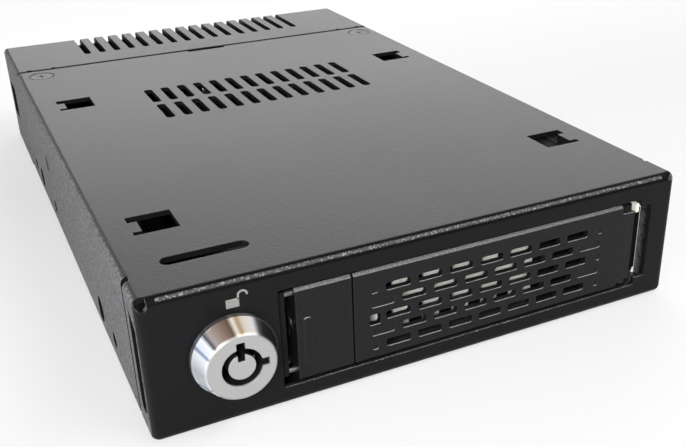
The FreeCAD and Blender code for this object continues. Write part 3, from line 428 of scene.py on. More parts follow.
def make_seams() -> Effect:
    """Shaded edges of the top sheet: both sides of the seam and a ring round each cover screw.

    The seam is where the distance from its depth is under a half width. A ring is where the
    distance from the screw's axis, less the screw's radius, is under a half width.

    Returns:
        The effect, with the mask.
    """
    effect = Effect("seams", {"Seam": 0.0, "Seam Half": 0.0006, "Screw Side": 0.045,
                              "Screw Depth": 0.0, "Screw Radius": 0.003, "Ring Half": 0.00026},
                    {"Value": Kind.NUMBER})
    tree = effect.tree
    given = effect.given
    up_span = (0.9, 0.97)
    point = tree.split(tree.point())
    up = tree.spread(tree.split(tree.normal())["Z"], up_span)
    off = tree.calc("ABSOLUTE", tree.calc("SUBTRACT", point["Y"], given["Seam"]))
    seam = tree.calc("LESS_THAN", off, given["Seam Half"])
    across = tree.calc("SUBTRACT", tree.calc("ABSOLUTE", point["X"]), given["Screw Side"])
    along = tree.calc("SUBTRACT", point["Y"], given["Screw Depth"])
    off = tree.calc("ABSOLUTE", tree.calc("SUBTRACT", tree.length(across, along),
                                          given["Screw Radius"]))
    ring = tree.calc("LESS_THAN", off, given["Ring Half"])
    effect.put("Value", tree.product(up, tree.calc("MAXIMUM", seam, ring)))
    return effect


def make_handling() -> Effect:
    """Slow blotches left by handling: faint smears that change gloss and tone.

    Returns:
        The effect, with a value round 0.5.
    """
    effect = Effect("handling", {"Blotches Per Metre": 40.0}, {"Value": Kind.NUMBER})
    tree = effect.tree
    blotch_span = (0.3, 0.7)
    slow = tree.noise(tree.point(), effect.given["Blotches Per Metre"], detail=4.0, rough=0.6)
    effect.put("Value", tree.spread(slow, blotch_span))
    return effect


def make_drawn_lines() -> Effect:
    """Rolling lines of sheet metal: noise stretched along the depth of the case.

    Returns:
        The effect, with the height of the lines.
    """
    effect = Effect("drawn_lines", {"Lines Per Metre": 3000.0}, {"Height": Kind.NUMBER})
    tree = effect.tree
    along_share = 0.03
    stretch = tree.add("Mapping")
    tree.feed(stretch.inputs["Scale"], (1.0, along_share, 1.0))
    tree.join(tree.point(), stretch.inputs["Vector"])
    effect.put("Height", tree.noise(stretch.outputs["Vector"],
                                    effect.given["Lines Per Metre"]))
    return effect


@dataclass
class Effects:
    """All shared effects, each built once."""

    pebble: Effect = field(default_factory=make_pebble)
    soft_edge: Effect = field(default_factory=make_soft_edge)
    bend: Effect = field(default_factory=make_bend)
    facing: Effect = field(default_factory=make_facing)
    ledge_highlight: Effect = field(default_factory=make_ledge)
    seams: Effect = field(default_factory=make_seams)
    handling: Effect = field(default_factory=make_handling)
    drawn_lines: Effect = field(default_factory=make_drawn_lines)


@dataclass(frozen=True)
class Band:
    """Ledges that are lit, in millimetres: ahead of a depth and between two heights."""

    depth: float
    low: float
    high: float

    def mask(self, tree: Tree, effects: Effects) -> Socket:
        """Places the ledge effect.

        Args:
            tree: The material's tree.
            effects: The shared effects.

        Returns:
            The mask of the ledges.
        """
        low, high = metres(self.low, self.high)
        return effects.ledge_highlight.place(tree, Low=low, High=high, Depth=depth_at(self.depth))["Value"]


@dataclass(frozen=True)
class Finish:
    """A finish with its plain values on the shader's own sockets.

    The edge radius is in millimetres. The swing is how far the handling marks take the
    roughness below and above its plain value.
    """

    name: str
    colour: Colour
    roughness: float = 0.5
    metallic: float = 0.0
    specular: float = 0.5
    edge_radius: float = 0.15
    blotches: float = 90.0
    swing: Span = (0.0, 0.0)

    def start(self) -> tuple[bpy.types.Material, Tree, bpy.types.bpy_prop_collection]:
        """Makes the material with its shader.

        Returns:
            The material, its tree and the inputs of its Principled shader.
        """
        material = bpy.data.materials.new(self.name)
        material.use_nodes = True
        tree = Tree(material.node_tree)
        shader = material.node_tree.nodes["Principled BSDF"].inputs
        for label, value in (("Base Color", self.colour), ("Roughness", self.roughness),
                             ("Metallic", self.metallic), ("Specular IOR Level", self.specular)):
            tree.feed(shader[label], value)
        return material, tree, shader

    def bump(self, tree: Tree, shader: bpy.types.bpy_prop_collection, height: Socket,
             depth: float, effects: Effects) -> Socket:
        """Raises the surface by a height over the softly rounded edges.

        Args:
            tree: The material's tree.
            shader: The inputs of the shader that takes the normal.
            height: The relief, about 0 to 1.
            depth: The depth of the relief in metres.
            effects: The shared effects.

        Returns:
            The mask of the edges.
        """
        edge = effects.soft_edge.place(tree, Radius=self.edge_radius * MM)
        bump = tree.add("Bump")
        for label, value in (("Distance", depth), ("Height", height), ("Normal", edge["Normal"])):
            tree.feed(bump.inputs[label], value)
        tree.join(bump.outputs["Normal"], shader["Normal"])
        return edge["Edge"]

    def handled(self, tree: Tree, effects: Effects) -> tuple[Socket, Socket]:
        """Lays the marks of handling over the finish.

        Args:
            tree: The material's tree.
            effects: The shared effects.

        Returns:
            The marks and the roughness that follows them.
        """
        marks = effects.handling.place(tree, Blotches_Per_Metre=self.blotches)["Value"]
        below, above = self.swing
        return marks, tree.spread(marks, out=(self.roughness - below, self.roughness + above))


@dataclass(frozen=True)
class PowderCoat(Finish):
    """Black fine texture powder coat on sheet steel, paler on its grain tops, with painted light
    and shade: sparkle at worn edges, sheen on the side walls, shade on the front face and bends, a
    glint along the top front bend, highlights on ledges at the front and shade along the seam and
    round the cover screws.

    Spots and widths are in millimetres. A share says how much of a tone is mixed in, and a
    span of shares goes from between the grains to their tops.
    """

    blotches: float = 14.0
    swing: Span = (0.012, 0.012)
    grains: float = 2900.0
    depth: float = 0.000045
    top_gain: float = 1.7
    top_lift: float = 0.004
    top_share: float = 0.55
    edge_wear_and_sparkle: Colour = (0.1, 0.1, 0.105)
    edge_wear_and_sparkle_share: float = 0.7
    side_sheen_low: Colour = (0.068, 0.068, 0.074)
    side_sheen_high: Colour = (0.265, 0.265, 0.27)
    front_shade: Colour = (0.0035, 0.0035, 0.004)
    front_shade_share: float = 0.8
    bend_shade: Colour = (0.004, 0.004, 0.004)
    glint: Colour = (0.5, 0.5, 0.51)
    glint_share: Span = (0.12, 0.7)
    lip_highlight: Colour = (0.5, 0.5, 0.51)
    lip_highlight_share: Span = (0.1, 1.0)
    lip_highlight_band: Band = Band(0.32, 1.0, 8.0)
    seam: float = 132.4
    seam_half: float = 0.85
    screw: Spot = (95.9, 126.6, 0.0)
    screw_radius: float = 2.95
    shade: Colour = (0.002, 0.002, 0.002)
    front_dull: float = 0.4
    dull_specular: float = 0.08
    shade_shine: float = 0.12

    def shaded(self, tree: Tree, effects: Effects) -> Socket:
        """Finds where shade is painted along the seam and round the cover screws.

        Args:
            tree: The material's tree.
            effects: The shared effects.

        Returns:
            The mask of the edges.
        """
        side, depth, _ = at(*self.screw).tolist()
        half, radius = metres(self.seam_half, self.screw_radius)
        return effects.seams.place(tree, Seam=depth_at(self.seam), Seam_Half=half,
                                   Screw_Side=side, Screw_Depth=depth,
                                   Screw_Radius=radius)["Value"]

    def build(self, effects: Effects) -> bpy.types.Material:
        """Makes the material.

        Args:
            effects: The shared effects.

        Returns:
            The material.
        """
        material, tree, shader = self.start()
        pebble = effects.pebble.place(tree, Grains_Per_Metre=self.grains)
        tops = pebble["Tops"]
        edge = self.bump(tree, shader, pebble["Height"], self.depth, effects)
        bend = effects.bend.place(tree)
        facing = effects.facing.place(tree)
        shade = self.shaded(tree, effects)

        base = tree.blend(tree.product(tops, self.top_share), self.colour,
                          scaled(self.colour, self.top_gain, self.top_lift))
        # Edges paler on their grain tops: wear, with a painted sparkle highlight.
        base = tree.blend(tree.product(edge, tops, self.edge_wear_and_sparkle_share), base, self.edge_wear_and_sparkle)
        # Painted sheen: the outer side walls and their bends take a speckled lighter grey.
        side = tree.blend(facing["Speckle"], self.side_sheen_low, self.side_sheen_high)
        base = tree.blend(facing["Side"], base, side)
        # Painted shade darkens the front face.
        base = tree.blend(tree.product(facing["Front"], self.front_shade_share), base, self.front_shade)
        # Painted shade darkens the bends between the top and the front.
        base = tree.blend(bend["Turn"], base, self.bend_shade)
        # A painted glint along the middle of the top front bend, on the grain tops.
        glint = tree.product(bend["Line"], tree.spread(tops, out=self.glint_share),
                             facing["Middle"])
        base = tree.blend(glint, base, self.glint)
        # Painted highlight on upward facing ledges at the front.
        lip_highlight = tree.product(self.lip_highlight_band.mask(tree, effects),
                           tree.spread(tops, out=self.lip_highlight_share))
        base = tree.blend(lip_highlight, base, self.lip_highlight)
        # Painted shade along the seam and round the cover screws.
        tree.join(tree.blend(shade, base, self.shade), shader["Base Color"])

        dull = tree.calc("MAXIMUM", bend["Turn"], tree.product(facing["Front"], self.front_dull))
        shine = tree.product(tree.spread(dull, out=(self.specular, self.dull_specular)),
                             tree.spread(shade, out=(1.0, self.shade_shine)))
        tree.join(shine, shader["Specular IOR Level"])
        tree.join(self.handled(tree, effects)[1], shader["Roughness"])
        return material


@dataclass(frozen=True)
class BareSheet(Finish):
    """Bare zinc plated sheet with rolling lines and a patchy passivation.

    Behind the front plate it is darkened by a factor as painted shade, and at its front edge under
    the hinge it is made near black as painted shade: right of, ahead of and below one corner. Both
    are in millimetres.
    """

    blotches: float = 130.0
    swing: Span = (0.08, 0.1)
    line_depth: float = 0.000006
    tint: Colour = (0.62, 0.6, 0.55)
    hinge_shade: Colour = (0.01, 0.01, 0.01)
    hinge_corner: Spot = (86.0, 4.6, 18.4)
    plate_back: float = 7.0
    behind: float = 1.0

    def build(self, effects: Effects) -> bpy.types.Material:
        """Makes the material.

        Args:
            effects: The shared effects.

        Returns:
            The material.
        """
        material, tree, shader = self.start()
        patch, gloss = self.handled(tree, effects)
        self.bump(tree, shader, effects.drawn_lines.place(tree)["Height"], self.line_depth,
                  effects)
        point = tree.split(tree.point())
        front = tree.blend(patch, self.colour, self.tint)
        # Behind the front plate the sheet is darkened by a factor: painted shade.
        rear = tree.blend(patch, scaled(self.colour, self.behind),
                          scaled(self.tint, self.behind))
        rear_shade_mask = tree.calc("GREATER_THAN", point["Y"], depth_at(self.plate_back))
        # Near black at the front edge under the hinge: painted shade.
        x, y, z = at(*self.hinge_corner).tolist()
        painted = tree.product(tree.calc("GREATER_THAN", point["X"], x),
                               tree.calc("LESS_THAN", point["Y"], y),
                               tree.calc("LESS_THAN", point["Z"], z))
        base = tree.blend(painted, tree.blend(rear_shade_mask, front, rear), self.hinge_shade)
        tree.join(base, shader["Base Color"])
        tree.join(gloss, shader["Roughness"])
        return material


@dataclass(frozen=True)
class Polished(Finish):
    """Bright plating with a breath of handling marks."""

    blotches: float = 260.0
    swing: Span = (0.0, 0.07)
    mark_depth: float = 0.0000015

    def build(self, effects: Effects) -> bpy.types.Material:
        """Makes the material.

        Args:
            effects: The shared effects.

        Returns:
            The material.
        """
        material, tree, shader = self.start()
        marks, gloss = self.handled(tree, effects)
        self.bump(tree, shader, marks, self.mark_depth, effects)
        tree.join(gloss, shader["Roughness"])
        return material


@dataclass(frozen=True)
class TurnedChrome(Polished):
    """Turned and chromed lock: painted reflections as tone bands round its axis, painted shade on
    its rim and a dark key groove of grease with painted shade.

    Lengths are in millimetres. A span is how far behind the face a tone comes in, and a blur
    is how far it takes to do so outward from a radius. Bands are in degrees from the right.
    """

    axis: tuple[float, float] = (14.0, 12.7)
    face: float = -4.5
    groove: float = 4.42
    groove_blur: float = 0.1
    groove_span: Span = (0.25, 0.45)
    groove_rough: float = 0.6
    dark: Colour = (0.012, 0.011, 0.01)
    side_span: Span = (0.05, 0.3)
    rim: float = 6.8
    rim_blur: float = 0.15
    rim_shade_share: float = 0.85
    rim_shade: Colour = (0.05, 0.05, 0.055)
    reflection_bands: tuple[tuple[float, Colour], ...] = (
        (0.0, (0.02, 0.02, 0.022)), (48.0, (0.03, 0.03, 0.034)), (56.0, (0.12, 0.12, 0.13)),
        (64.0, (0.9, 0.9, 0.88)), (78.0, (0.72, 0.66, 0.56)), (85.0, (0.42, 0.27, 0.13)),
        (91.0, (0.78, 0.73, 0.66)), (97.0, (0.13, 0.08, 0.05)), (112.0, (0.27, 0.2, 0.16)),
        (126.0, (0.4, 0.35, 0.33)), (132.0, (0.06, 0.06, 0.09)), (137.0, (0.93, 0.96, 1.0)),
        (147.0, (0.8, 0.87, 1.0)), (151.0, (0.2, 0.26, 0.42)), (155.0, (0.9, 0.95, 1.0)),
        (180.0, (0.6, 0.62, 0.66)))

    def painted_reflections(self, tree: Tree, across: Socket, up: Socket) -> Socket:
        """Colours by the angle round the axis, the same above and below it, as painted
        reflections.

        Args:
            tree: The material's tree.
            across: Distance to the right of the axis.
            up: Distance above the axis.

        Returns:
            The colour of the painted reflections.
        """
        half_turn = 180.0
        turn = tree.calc("ABSOLUTE", tree.calc("ARCTAN2", up, across))
        ramp = tree.add("ValToRGB")
        tree.join(tree.calc("DIVIDE", turn, math.pi), ramp.inputs["Fac"])
        # A new ramp has a stop at each end, so only those between are added.
        stops = ramp.color_ramp.elements
        for degrees, tone in self.reflection_bands[1:-1]:
            stops.new(degrees / half_turn).color = (*tone, 1.0)
        for end in (0, -1):
            stops[end].color = (*self.reflection_bands[end][1], 1.0)
        return ramp.outputs["Color"]

    def build(self, effects: Effects) -> bpy.types.Material:
        """Makes the material.

        Args:
            effects: The shared effects.

        Returns:
            The material.
        """
        material, tree, shader = self.start()
        point = tree.split(tree.point())
        x, y, z = at(self.axis[0], self.face, self.axis[1]).tolist()
        across = tree.calc("SUBTRACT", point["X"], x)
        up = tree.calc("SUBTRACT", point["Z"], z)
        behind = tree.calc("SUBTRACT", point["Y"], y)
        radius = tree.length(across, up)

        # Inside the key groove it is dark and rough: grease, with painted shade.
        near = tree.spread(radius, metres(self.groove, self.groove + self.groove_blur), FALL)
        inside = tree.product(tree.spread(behind, metres(*self.groove_span)), near)
        side = tree.product(tree.spread(behind, metres(*self.side_span)),
                            tree.calc("SUBTRACT", 1.0, near))
        # Painted shade darkens the rim outward of its radius.
        edge = tree.spread(radius, metres(self.rim, self.rim + self.rim_blur),
                           (0.0, self.rim_shade_share))
        # The sides take painted reflections, banded by the angle round the axis.
        tone = tree.blend(side, self.colour, self.painted_reflections(tree, across, up))
        tone = tree.blend(edge, tone, self.rim_shade)
        tree.join(tree.blend(inside, tone, self.dark), shader["Base Color"])

        marks, gloss = self.handled(tree, effects)
        self.bump(tree, shader, marks, self.mark_depth, effects)
        tree.join(tree.calc("MAXIMUM", gloss, tree.product(inside, self.groove_rough)),
                  shader["Roughness"])
        return material


@dataclass(frozen=True)
class Moulded(Finish):
    """Moulded or die cast part with a faint skin, with painted highlights: paler edges, a paler
    bevel line and paler lit ledges.
    """

    swing: Span = (0.05, 0.06)
    grains: float = 3600.0
    ripple: float = 0.6
    depth: float = 0.000008
    edge_highlight_gain: float = 1.8
    edge_highlight_lift: float = 0.012
    bevel: Colour = (0.24, 0.24, 0.24)
    bevel_highlight_share: Span = (0.45, 1.0)
    bevel_highlight_tops: Span = (0.0, 0.6)
    ledge_highlight: Colour = (0.3, 0.3, 0.3)
    ledge_highlight_band: Band = Band(0.5, 5.0, 19.5)

    def build(self, effects: Effects) -> bpy.types.Material:
        """Makes the material.

        Args:
            effects: The shared effects.

        Returns:
            The material.
        """
        material, tree, shader = self.start()
        pebble = effects.pebble.place(tree, Grains_Per_Metre=self.grains, Ripple=self.ripple)
        edge = self.bump(tree, shader, pebble["Height"], self.depth, effects)
        # Edges are made paler as a painted highlight.
        base = tree.blend(edge, self.colour, scaled(self.colour, self.edge_highlight_gain, self.edge_highlight_lift))
        # A painted highlight along the 45 degree bevel, on the grain tops.
        bevel = tree.product(effects.bend.place(tree)["Line"],
                             tree.spread(pebble["Tops"], self.bevel_highlight_tops, self.bevel_highlight_share))
        base = tree.blend(bevel, base, self.bevel)
        # A painted highlight on the upward facing ledges of the front.
        base = tree.blend(self.ledge_highlight_band.mask(tree, effects), base, self.ledge_highlight)
        tree.join(base, shader["Base Color"])
        tree.join(self.handled(tree, effects)[1], shader["Roughness"])
        return material


@dataclass(frozen=True)
class SolderMask(Finish):
    """Circuit board: green mask over a grid of copper runs."""

    grid_offset: float = 0.37
    grid_scale: float = 260.0
    grid_gap: float = 0.06
    depth: float = 0.00002
    gap_gain: float = 1.7

    def build(self, effects: Effects) -> bpy.types.Material:
        """Makes the material.

        Args:
            effects: The shared effects.

        Returns:
            The material.
        """
        material, tree, shader = self.start()
        grid = tree.add("TexBrick", offset=self.grid_offset)
        for label, value in (("Scale", self.grid_scale), ("Mortar Size", self.grid_gap),
                             ("Vector", tree.point())):
            tree.feed(grid.inputs[label], value)
        gap = grid.outputs["Fac"]
        self.bump(tree, shader, gap, self.depth, effects)
        tree.join(tree.blend(gap, self.colour, scaled(self.colour, self.gap_gain)),
                  shader["Base Color"])
        return material


@dataclass
class Palette:
    """Every finish of the cage, built once."""

    effects: Effects = field(default_factory=Effects)

    def __post_init__(self) -> None:
        """Builds the materials."""
        make = self.effects
        self.powder = PowderCoat("black_powder_coat", (0.009, 0.009, 0.0105), 0.46,
                                 specular=0.3).build(make)
        # The zinc is darkened to 0.62 behind the front plate as painted shade.
        self.zinc = BareSheet("bare_zinc_sheet", (0.97, 0.95, 0.86), 0.5, 0.05,
                              tint=(0.88, 0.86, 0.78), behind=0.62).build(make)
        self.rods = Polished("satin_rods", (0.28, 0.28, 0.29), 0.4, 1.0).build(make)
        self.lock = TurnedChrome("turned_chrome", (0.42, 0.42, 0.415), 0.3, 0.35).build(make)
        self.nickel = Polished("nickel_plate", (0.62, 0.61, 0.58), 0.22, 1.0).build(make)
        self.spring = Polished("spring_wire", (0.05, 0.05, 0.05), 0.55, 1.0).build(make)
        # The base pan and guide rails are zinc made dark as painted shade inside the case.
        self.pan = BareSheet("shaded_zinc_sheet", (0.09, 0.088, 0.08), 0.5, 0.1,
                             tint=(0.06, 0.058, 0.052)).build(make)
        self.front = Moulded("black_front", (0.008, 0.008, 0.009), 0.36,
                             specular=0.28, edge_radius=0.3).build(make)
        self.inner = Moulded("black_frame", (0.004, 0.004, 0.004), 0.6, specular=0.2).build(make)
        self.screw = Moulded("black_oxide", (0.02, 0.02, 0.02), 0.46, specular=0.3).build(make)
        self.board = SolderMask("solder_mask", (0.006, 0.03, 0.018), 0.6,
                                specular=0.1).build(make)
        self.gold = Polished("gold_plating", (0.83, 0.62, 0.27), 0.2, 1.0).build(make)
        self.sleeve = Moulded("shrunk_sleeve", (0.015, 0.017, 0.04), 0.6).build(make)
        self.print = Moulded("grey_print", (0.24, 0.25, 0.235), 0.6, depth=0.000002).build(make)
        # Painted shade: dark strips for the cover screws' cross recesses and the fine groove on
        # the lever.
        self.recess = Moulded("recess_shade", (0.004, 0.004, 0.004), 0.6).build(make)


def dress(material: bpy.types.Material, *nodes: str) -> None:
    """Gives carried over CAD nodes their finish.

    Args:
        material: The finish.
        nodes: The nodes' names.
    """
    for node in nodes:
        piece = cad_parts[node]
        piece.data.materials.clear()
        piece.data.materials.append(material)
        log.info("dressed %s with %s", node, material.name)


def show(name: str, data: bpy.types.ID) -> bpy.types.Object:
    """Makes an object and puts it into the scene.

    Args:
        name: The object's name.
        data: Its mesh, lamp or camera.

    Returns:
        The new object.
    """
    piece = bpy.data.objects.new(name, data)
    bpy.context.scene.collection.objects.link(piece)
    return piece


def surface(name: str, points: np.ndarray, faces: np.ndarray, body: Body,
            material: bpy.types.Material, slot: str,
            shading: Shading = Shading.SMOOTH) -> bpy.types.Object:
    """Makes a piece from points and four sided or three sided faces.

    Args:
        name: The piece's name.
        points: Points in metres, one row each.
        faces: Indices of the points, one row for each face.
        body: The body it rides on.
        material: Its finish.
        slot: The record's material slot; not used.
        shading: Smooth or flat.

    Returns:
        The new object.
    """
    mesh = bpy.data.meshes.new(name)
    mesh.from_pydata(points.tolist(), [], faces.tolist())
    mesh.polygons.foreach_set("use_smooth",
                              np.full(len(mesh.polygons), shading is Shading.SMOOTH))
    mesh.materials.append(material)
    mesh.update()
    piece = show(name, mesh)
    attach(piece, body.value)
    log.info("built %s: %d faces", name, len(faces))
    return piece


def bar(centre: np.ndarray, side: np.ndarray, rise: np.ndarray) -> Mesh:
    """Closed bar along a line of stations.

    Each station has four corners: its centre less the side vector, its centre plus that vector,
    and the same two moved by the rise. Four quads join each pair of stations and one quad closes
    each end. Where the enclosed volume comes out negative, all faces are turned round.

    Args:
        centre: Middle of each station, in metres.
        side: Half of the bar's width at each station, or one for all, in metres.
        rise: The bar's thickness as a vector, in metres.

    Returns:
        The points and the faces.
    """
    points = np.stack((centre - side, centre + side, centre + side + rise, centre - side + rise),
                      axis=1).reshape(-1, 3)
    start = np.arange(len(centre) - 1)[:, None] * 4
    corner = np.arange(4)[None, :]
    after = (corner + 1) % 4
    walls = np.stack((start + corner, start + after, start + 4 + after, start + 4 + corner),
                     axis=-1).reshape(-1, 4)
    last = len(points) - 4
    faces = np.concatenate((walls, [[3, 2, 1, 0], [last, last + 1, last + 2, last + 3]]))
    a, b, c, d = (points[faces[:, k]] - points[0] for k in range(4))
    volume = np.sum(a * np.cross(b, c)) + np.sum(a * np.cross(c, d))
    return points, faces if volume > 0 else faces[:, ::-1]


def joined(parts: list[Mesh]) -> Mesh:
    """Puts several closed shapes into one.

    Args:
        parts: The points and the faces of each shape.

    Returns:
        One list of points and one of faces.
    """
    offsets = np.cumsum([0] + [len(points) for points, _ in parts[:-1]])
    return (np.concatenate([points for points, _ in parts]),
            np.concatenate([faces + shift for (_, faces), shift in zip(parts, offsets)]))


@dataclass
class CaseDress:
    """Shell, rear cover, base and what is fixed in them. Sizes are in millimetres."""

    palette: Palette
    screw_x: tuple[float, float] = (5.7, 95.9)
    screw_y: float = 126.6
    screw_top: float = 25.352
    cross_reach: float = 1.35
    cross_width: float = 0.5
    cross_rise: float = 0.02
    body_x: Span = (13.6, 15.7)
    body_z: Span = (20.7, 22.2)
    hoop: tuple[float, float, float] = (16.3, 22.55, 0.72)
    hoop_width: float = 0.34
    hoop_steps: int = 25
    hoop_feet: tuple[float, float] = (0.5, 0.12)
    print_front: float = -0.03
    print_depth: float = 0.02

    def crosses(self) -> None:
        """Lays painted shade as a dark cross into the head of each cover screw, where its cross
        recess is.

        A cross is two thin bars through the screw's middle, one across and one along the case.
        """
        ends = np.array([-self.cross_reach, self.cross_reach])
        rise = UP * self.cross_rise * MM
        parts = [bar(at(x, self.screw_y, self.screw_top) + np.outer(ends, along) * MM,
                     across * self.cross_width / 2 * MM, rise)
                 for x in self.screw_x for along, across in ((RIGHT, BACK), (BACK, RIGHT))]
        surface("cover_screw_crosses", *joined(parts), Body.CASE, self.palette.recess,
                "black_screw", Shading.FLAT)

    def padlock(self) -> None:
        """Prints a plain open padlock above the lock.

        The body is one short bar. The hoop is a bar along half a circle with a straight foot at
        each end, the right foot shorter, so that it reads as open.
        """
        y = self.print_front
        low, high = self.body_z
        rise = BACK * self.print_depth * MM
        body = bar(at(np.array(self.body_x), y, (low + high) / 2), UP * (high - low) / 2 * MM,
                   rise)
        x, z, radius = self.hoop
        turn = np.linspace(math.pi, 0.0, self.hoop_steps)
        reach = np.outer(np.cos(turn), RIGHT) + np.outer(np.sin(turn), UP)
        arc = at(x, y, z) + reach * radius * MM
        left, right = (UP * foot * MM for foot in self.hoop_feet)
        line = np.concatenate((arc[:1] - left, arc, arc[-1:] - right))
        out = np.concatenate((reach[:1], reach, reach[-1:]))
        hoop = bar(line, out * self.hoop_width / 2 * MM, rise)
        surface("padlock_print", *joined([body, hoop]), Body.CASE, self.palette.print, "chrome",
                Shading.FLAT)

    def build(self) -> None:
        """Dresses the nodes of the case."""
        self.crosses()
        self.padlock()
        dress(self.palette.powder, "case_shell", "rear_cover")
        dress(self.palette.pan, "base_pan", "guide_rail_left", "guide_rail_right")
        dress(self.palette.screw, "cover_screws", "side_screws")


@dataclass
class LockDress:
    """Chrome lock with its plug, pins and cam."""

    palette: Palette

    def build(self) -> None:
        """Dresses the nodes of the lock."""
        dress(self.palette.lock, "lock_body", "lock_plug")
        dress(self.palette.nickel, "lock_nut", "lock_pins", "lock_cam", "cam_screw")


@dataclass
class FrontDress:
    """Tray front: lever, latch, rods, frame and the perforated tray. Sizes are in millimetres."""

    palette: Palette
    lever_face: float = 0.3
    dash_x: float = 85.4
    dash_z: Span = (5.2, 19.6)
    dash_count: int = 12
    dash_share: float = 0.6
    dash_width: float = 0.14
    dash_proud: float = 0.02
    dash_depth: float = 0.015
    end_x: Span = (91.4, 93.0)
    end_z: Span = (5.15, 19.1)
    end_depth: float = 0.45
    end_stations: int = 11
    end_flat: float = 0.8
    end_draw: float = 0.35

    def dashes(self) -> None:
        """Draws the fine dashed line down the plain end of the lever.

        Each dash is a short upright bar. It starts one pitch above the last and is a share of
        the pitch long.
        """
        low, high = self.dash_z
        pitch = (high - low) / self.dash_count
        # The dashes are dark strips of painted shade for a fine groove.
        parts = [bar(at(self.dash_x, self.lever_face - self.dash_proud,
                        low + pitch * np.array([k, k + self.dash_share])),
                     RIGHT * self.dash_width / 2 * MM, BACK * self.dash_depth * MM)
                 for k in range(self.dash_count)]
        surface("lever_dashes", *joined(parts), Body.LEVER, self.palette.recess,
                "front_plastic", Shading.FLAT)

    def lever_end(self) -> None:
        """Carries the plain end of the lever over its hinge as a thin plate.

        A closed bar runs along the width at evenly spaced stations. Towards its free end it
        draws back by the square of the distance over the last fifth, which rounds the edge.
        """
        left, right = self.end_x
        low, high = self.end_z
        along = np.linspace(0.0, 1.0, self.end_stations)
        late = np.clip((along - self.end_flat) / (1.0 - self.end_flat), 0.0, 1.0)
        centre = at(left + (right - left) * along, self.lever_face + late ** 2 * self.end_draw,
                    (low + high) / 2)
        surface("lever_end", *bar(centre, UP * (high - low) / 2 * MM, BACK * self.end_depth * MM),
                Body.LEVER, self.palette.front, "front_plastic", Shading.FLAT)

    def build(self) -> None:
        """Dresses the nodes of the tray."""
        self.dashes()
        self.lever_end()
        dress(self.palette.front, "lever", "latch_button")
        dress(self.palette.inner, "tray_frame")
        dress(self.palette.zinc, "tray_body")
        dress(self.palette.rods, "latch_rods")
        dress(self.palette.nickel, "frame_rivets")
        dress(self.palette.spring, "latch_spring", "kick_spring", "hinge_pin")


@dataclass
class BoardDress:
    """Circuit board with its connectors and parts."""

    palette: Palette

    def build(self) -> None:
        """Dresses the nodes of the board."""
        dress(self.palette.board, "main_board")
        dress(self.palette.nickel, "board_standoffs", "board_screws")
        dress(self.palette.inner, "drive_socket", "data_connector", "power_connector",
              "controller_chip")
        dress(self.palette.gold, "socket_contacts")
        dress(self.palette.sleeve, "capacitors")


@dataclass(frozen=True)
class Lamp:
    """A soft rectangular lamp: place, aim and size in metres, power in watts."""

    name: str
    place: Spot
    size: tuple[float, float]
    power: float
    aim: Spot = (0.0, 0.0, 0.0)

    def hang(self) -> None:
        """Hangs the lamp, turned to what it points at."""
        data = bpy.data.lights.new(self.name, "AREA")
        data.shape = "RECTANGLE"
        data.size, data.size_y = self.size
        data.energy = self.power
        piece = show(self.name, data)
        piece.location = self.place
        away = Vector(self.place) - Vector(self.aim)
        piece.rotation_euler = away.to_track_quat("Z", "Y").to_euler()


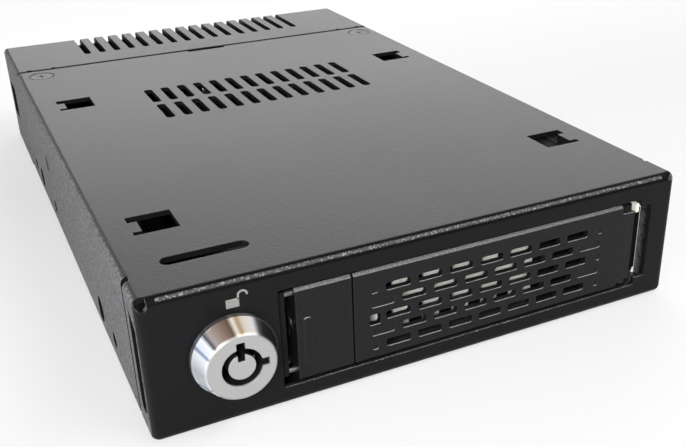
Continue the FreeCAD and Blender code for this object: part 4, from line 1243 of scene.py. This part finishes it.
@dataclass
class Studio:
    """Pale floor, soft lamps and the camera.

    The camera's place is in millimetres and its picture in pixels, as solved from the corners
    of the case. The floor is in metres.
    """

    sensor_mm: float = 36.0
    focal_px: float = 917.0
    picture_px: tuple[float, float] = (686.0, 447.0)
    centre_px: tuple[float, float] = (377.4, 225.7)
    nearest: float = 0.001
    place: Spot = (-17.85, -117.42, 92.04)
    turn_deg: Spot = (64.154, 1.028, -26.433)
    floor_reach: float = 6.0
    floor_colour: Colour = (0.5, 0.5, 0.505)
    floor_rough: float = 0.9
    floor_specular: float = 0.1
    far_range: Span = (0.03, 0.17)
    far_glow: Span = (0.37, 0.5)
    rim_range: Span = (0.45, 1.2)
    rim_glow: Span = (0.0, 0.7)
    room_light: float = 0.3
    white: Colour = (1.0, 1.0, 1.0)
    lamps: tuple[Lamp, ...] = (
        Lamp("rear_panel", (0.75, 1.5, 0.6), (2.0, 0.6), 17.0),
        Lamp("top_strip", (0.55, -0.5, 0.9), (1.0, 0.12), 5.0),
        Lamp("front_left", (-1.2, -0.7, 0.9), (0.7, 0.7), 3.0),
        Lamp("front", (-0.29, -0.51, 0.3), (0.12, 0.12), 3.9, (0.0, -0.08, 0.012)))

    def camera(self) -> None:
        """Sets the camera where the picture was taken from."""
        width, height = self.picture_px
        data = bpy.data.cameras.new("camera")
        data.sensor_width = self.sensor_mm
        data.lens = self.focal_px * self.sensor_mm / width
        data.shift_x = (width / 2 - self.centre_px[0]) / width
        data.shift_y = (self.centre_px[1] - height / 2) / width
        data.clip_start = self.nearest
        eye = show("camera", data)
        eye.location = at(*self.place)
        eye.rotation_euler = Euler([math.radians(angle) for angle in self.turn_deg], "XYZ")
        bpy.context.scene.camera = eye

    def pale(self) -> bpy.types.Material:
        """Makes the floor's finish, which glows only to the camera.

        The glow grows with the distance behind the case and again far from it on all sides, so
        that the floor reads as white up to the background.

        Returns:
            The material.
        """
        finish = Finish("pale_floor", self.floor_colour, self.floor_rough,
                        specular=self.floor_specular)
        material, tree, shader = finish.start()
        point = tree.point()
        away = tree.add("VectorMath", operation="LENGTH")
        tree.join(point, away.inputs[0])
        glow = tree.calc("ADD", tree.spread(tree.split(point)["Y"], self.far_range, self.far_glow),
                         tree.spread(away.outputs["Value"], self.rim_range, self.rim_glow))
        seen = tree.add("LightPath").outputs["Is Camera Ray"]
        tree.feed(shader["Emission Color"], self.white)
        tree.join(tree.product(seen, glow), shader["Emission Strength"])
        return material

    def floor(self) -> None:
        """Lays a large pale floor under the case, as one square with its corners in turn."""
        corners = np.array([(-1, -1, 0), (1, -1, 0), (1, 1, 0), (-1, 1, 0)]) * self.floor_reach
        mesh = bpy.data.meshes.new("floor")
        mesh.from_pydata(corners.tolist(), [], [(0, 1, 2, 3)])
        mesh.materials.append(self.pale())
        piece = show("floor", mesh)

    def world(self) -> None:
        """Fills the room with an even pale light; the camera sees plain white."""
        world = bpy.data.worlds.new("room")
        bpy.context.scene.world = world
        world.use_nodes = True
        tree = Tree(world.node_tree)
        background = world.node_tree.nodes["Background"].inputs
        seen = tree.add("LightPath").outputs["Is Camera Ray"]
        tree.feed(background["Color"], self.white)
        tree.join(tree.spread(seen, out=(self.room_light, 1.0)), background["Strength"])

    def build(self) -> None:
        """Sets up the whole studio."""
        self.camera()
        self.floor()
        for lamp in self.lamps:
            lamp.hang()
        self.world()
        bpy.context.scene.view_settings.view_transform = "Standard"


def main() -> None:
    """Builds the looks in order."""
    logging.basicConfig(level=logging.INFO, format="%(name)s: %(message)s")
    palette = Palette()
    for part in (CaseDress(palette), LockDress(palette), FrontDress(palette),
                 BoardDress(palette)):
        part.build()
    Studio().build()


if __name__ == "__main__":
    main()
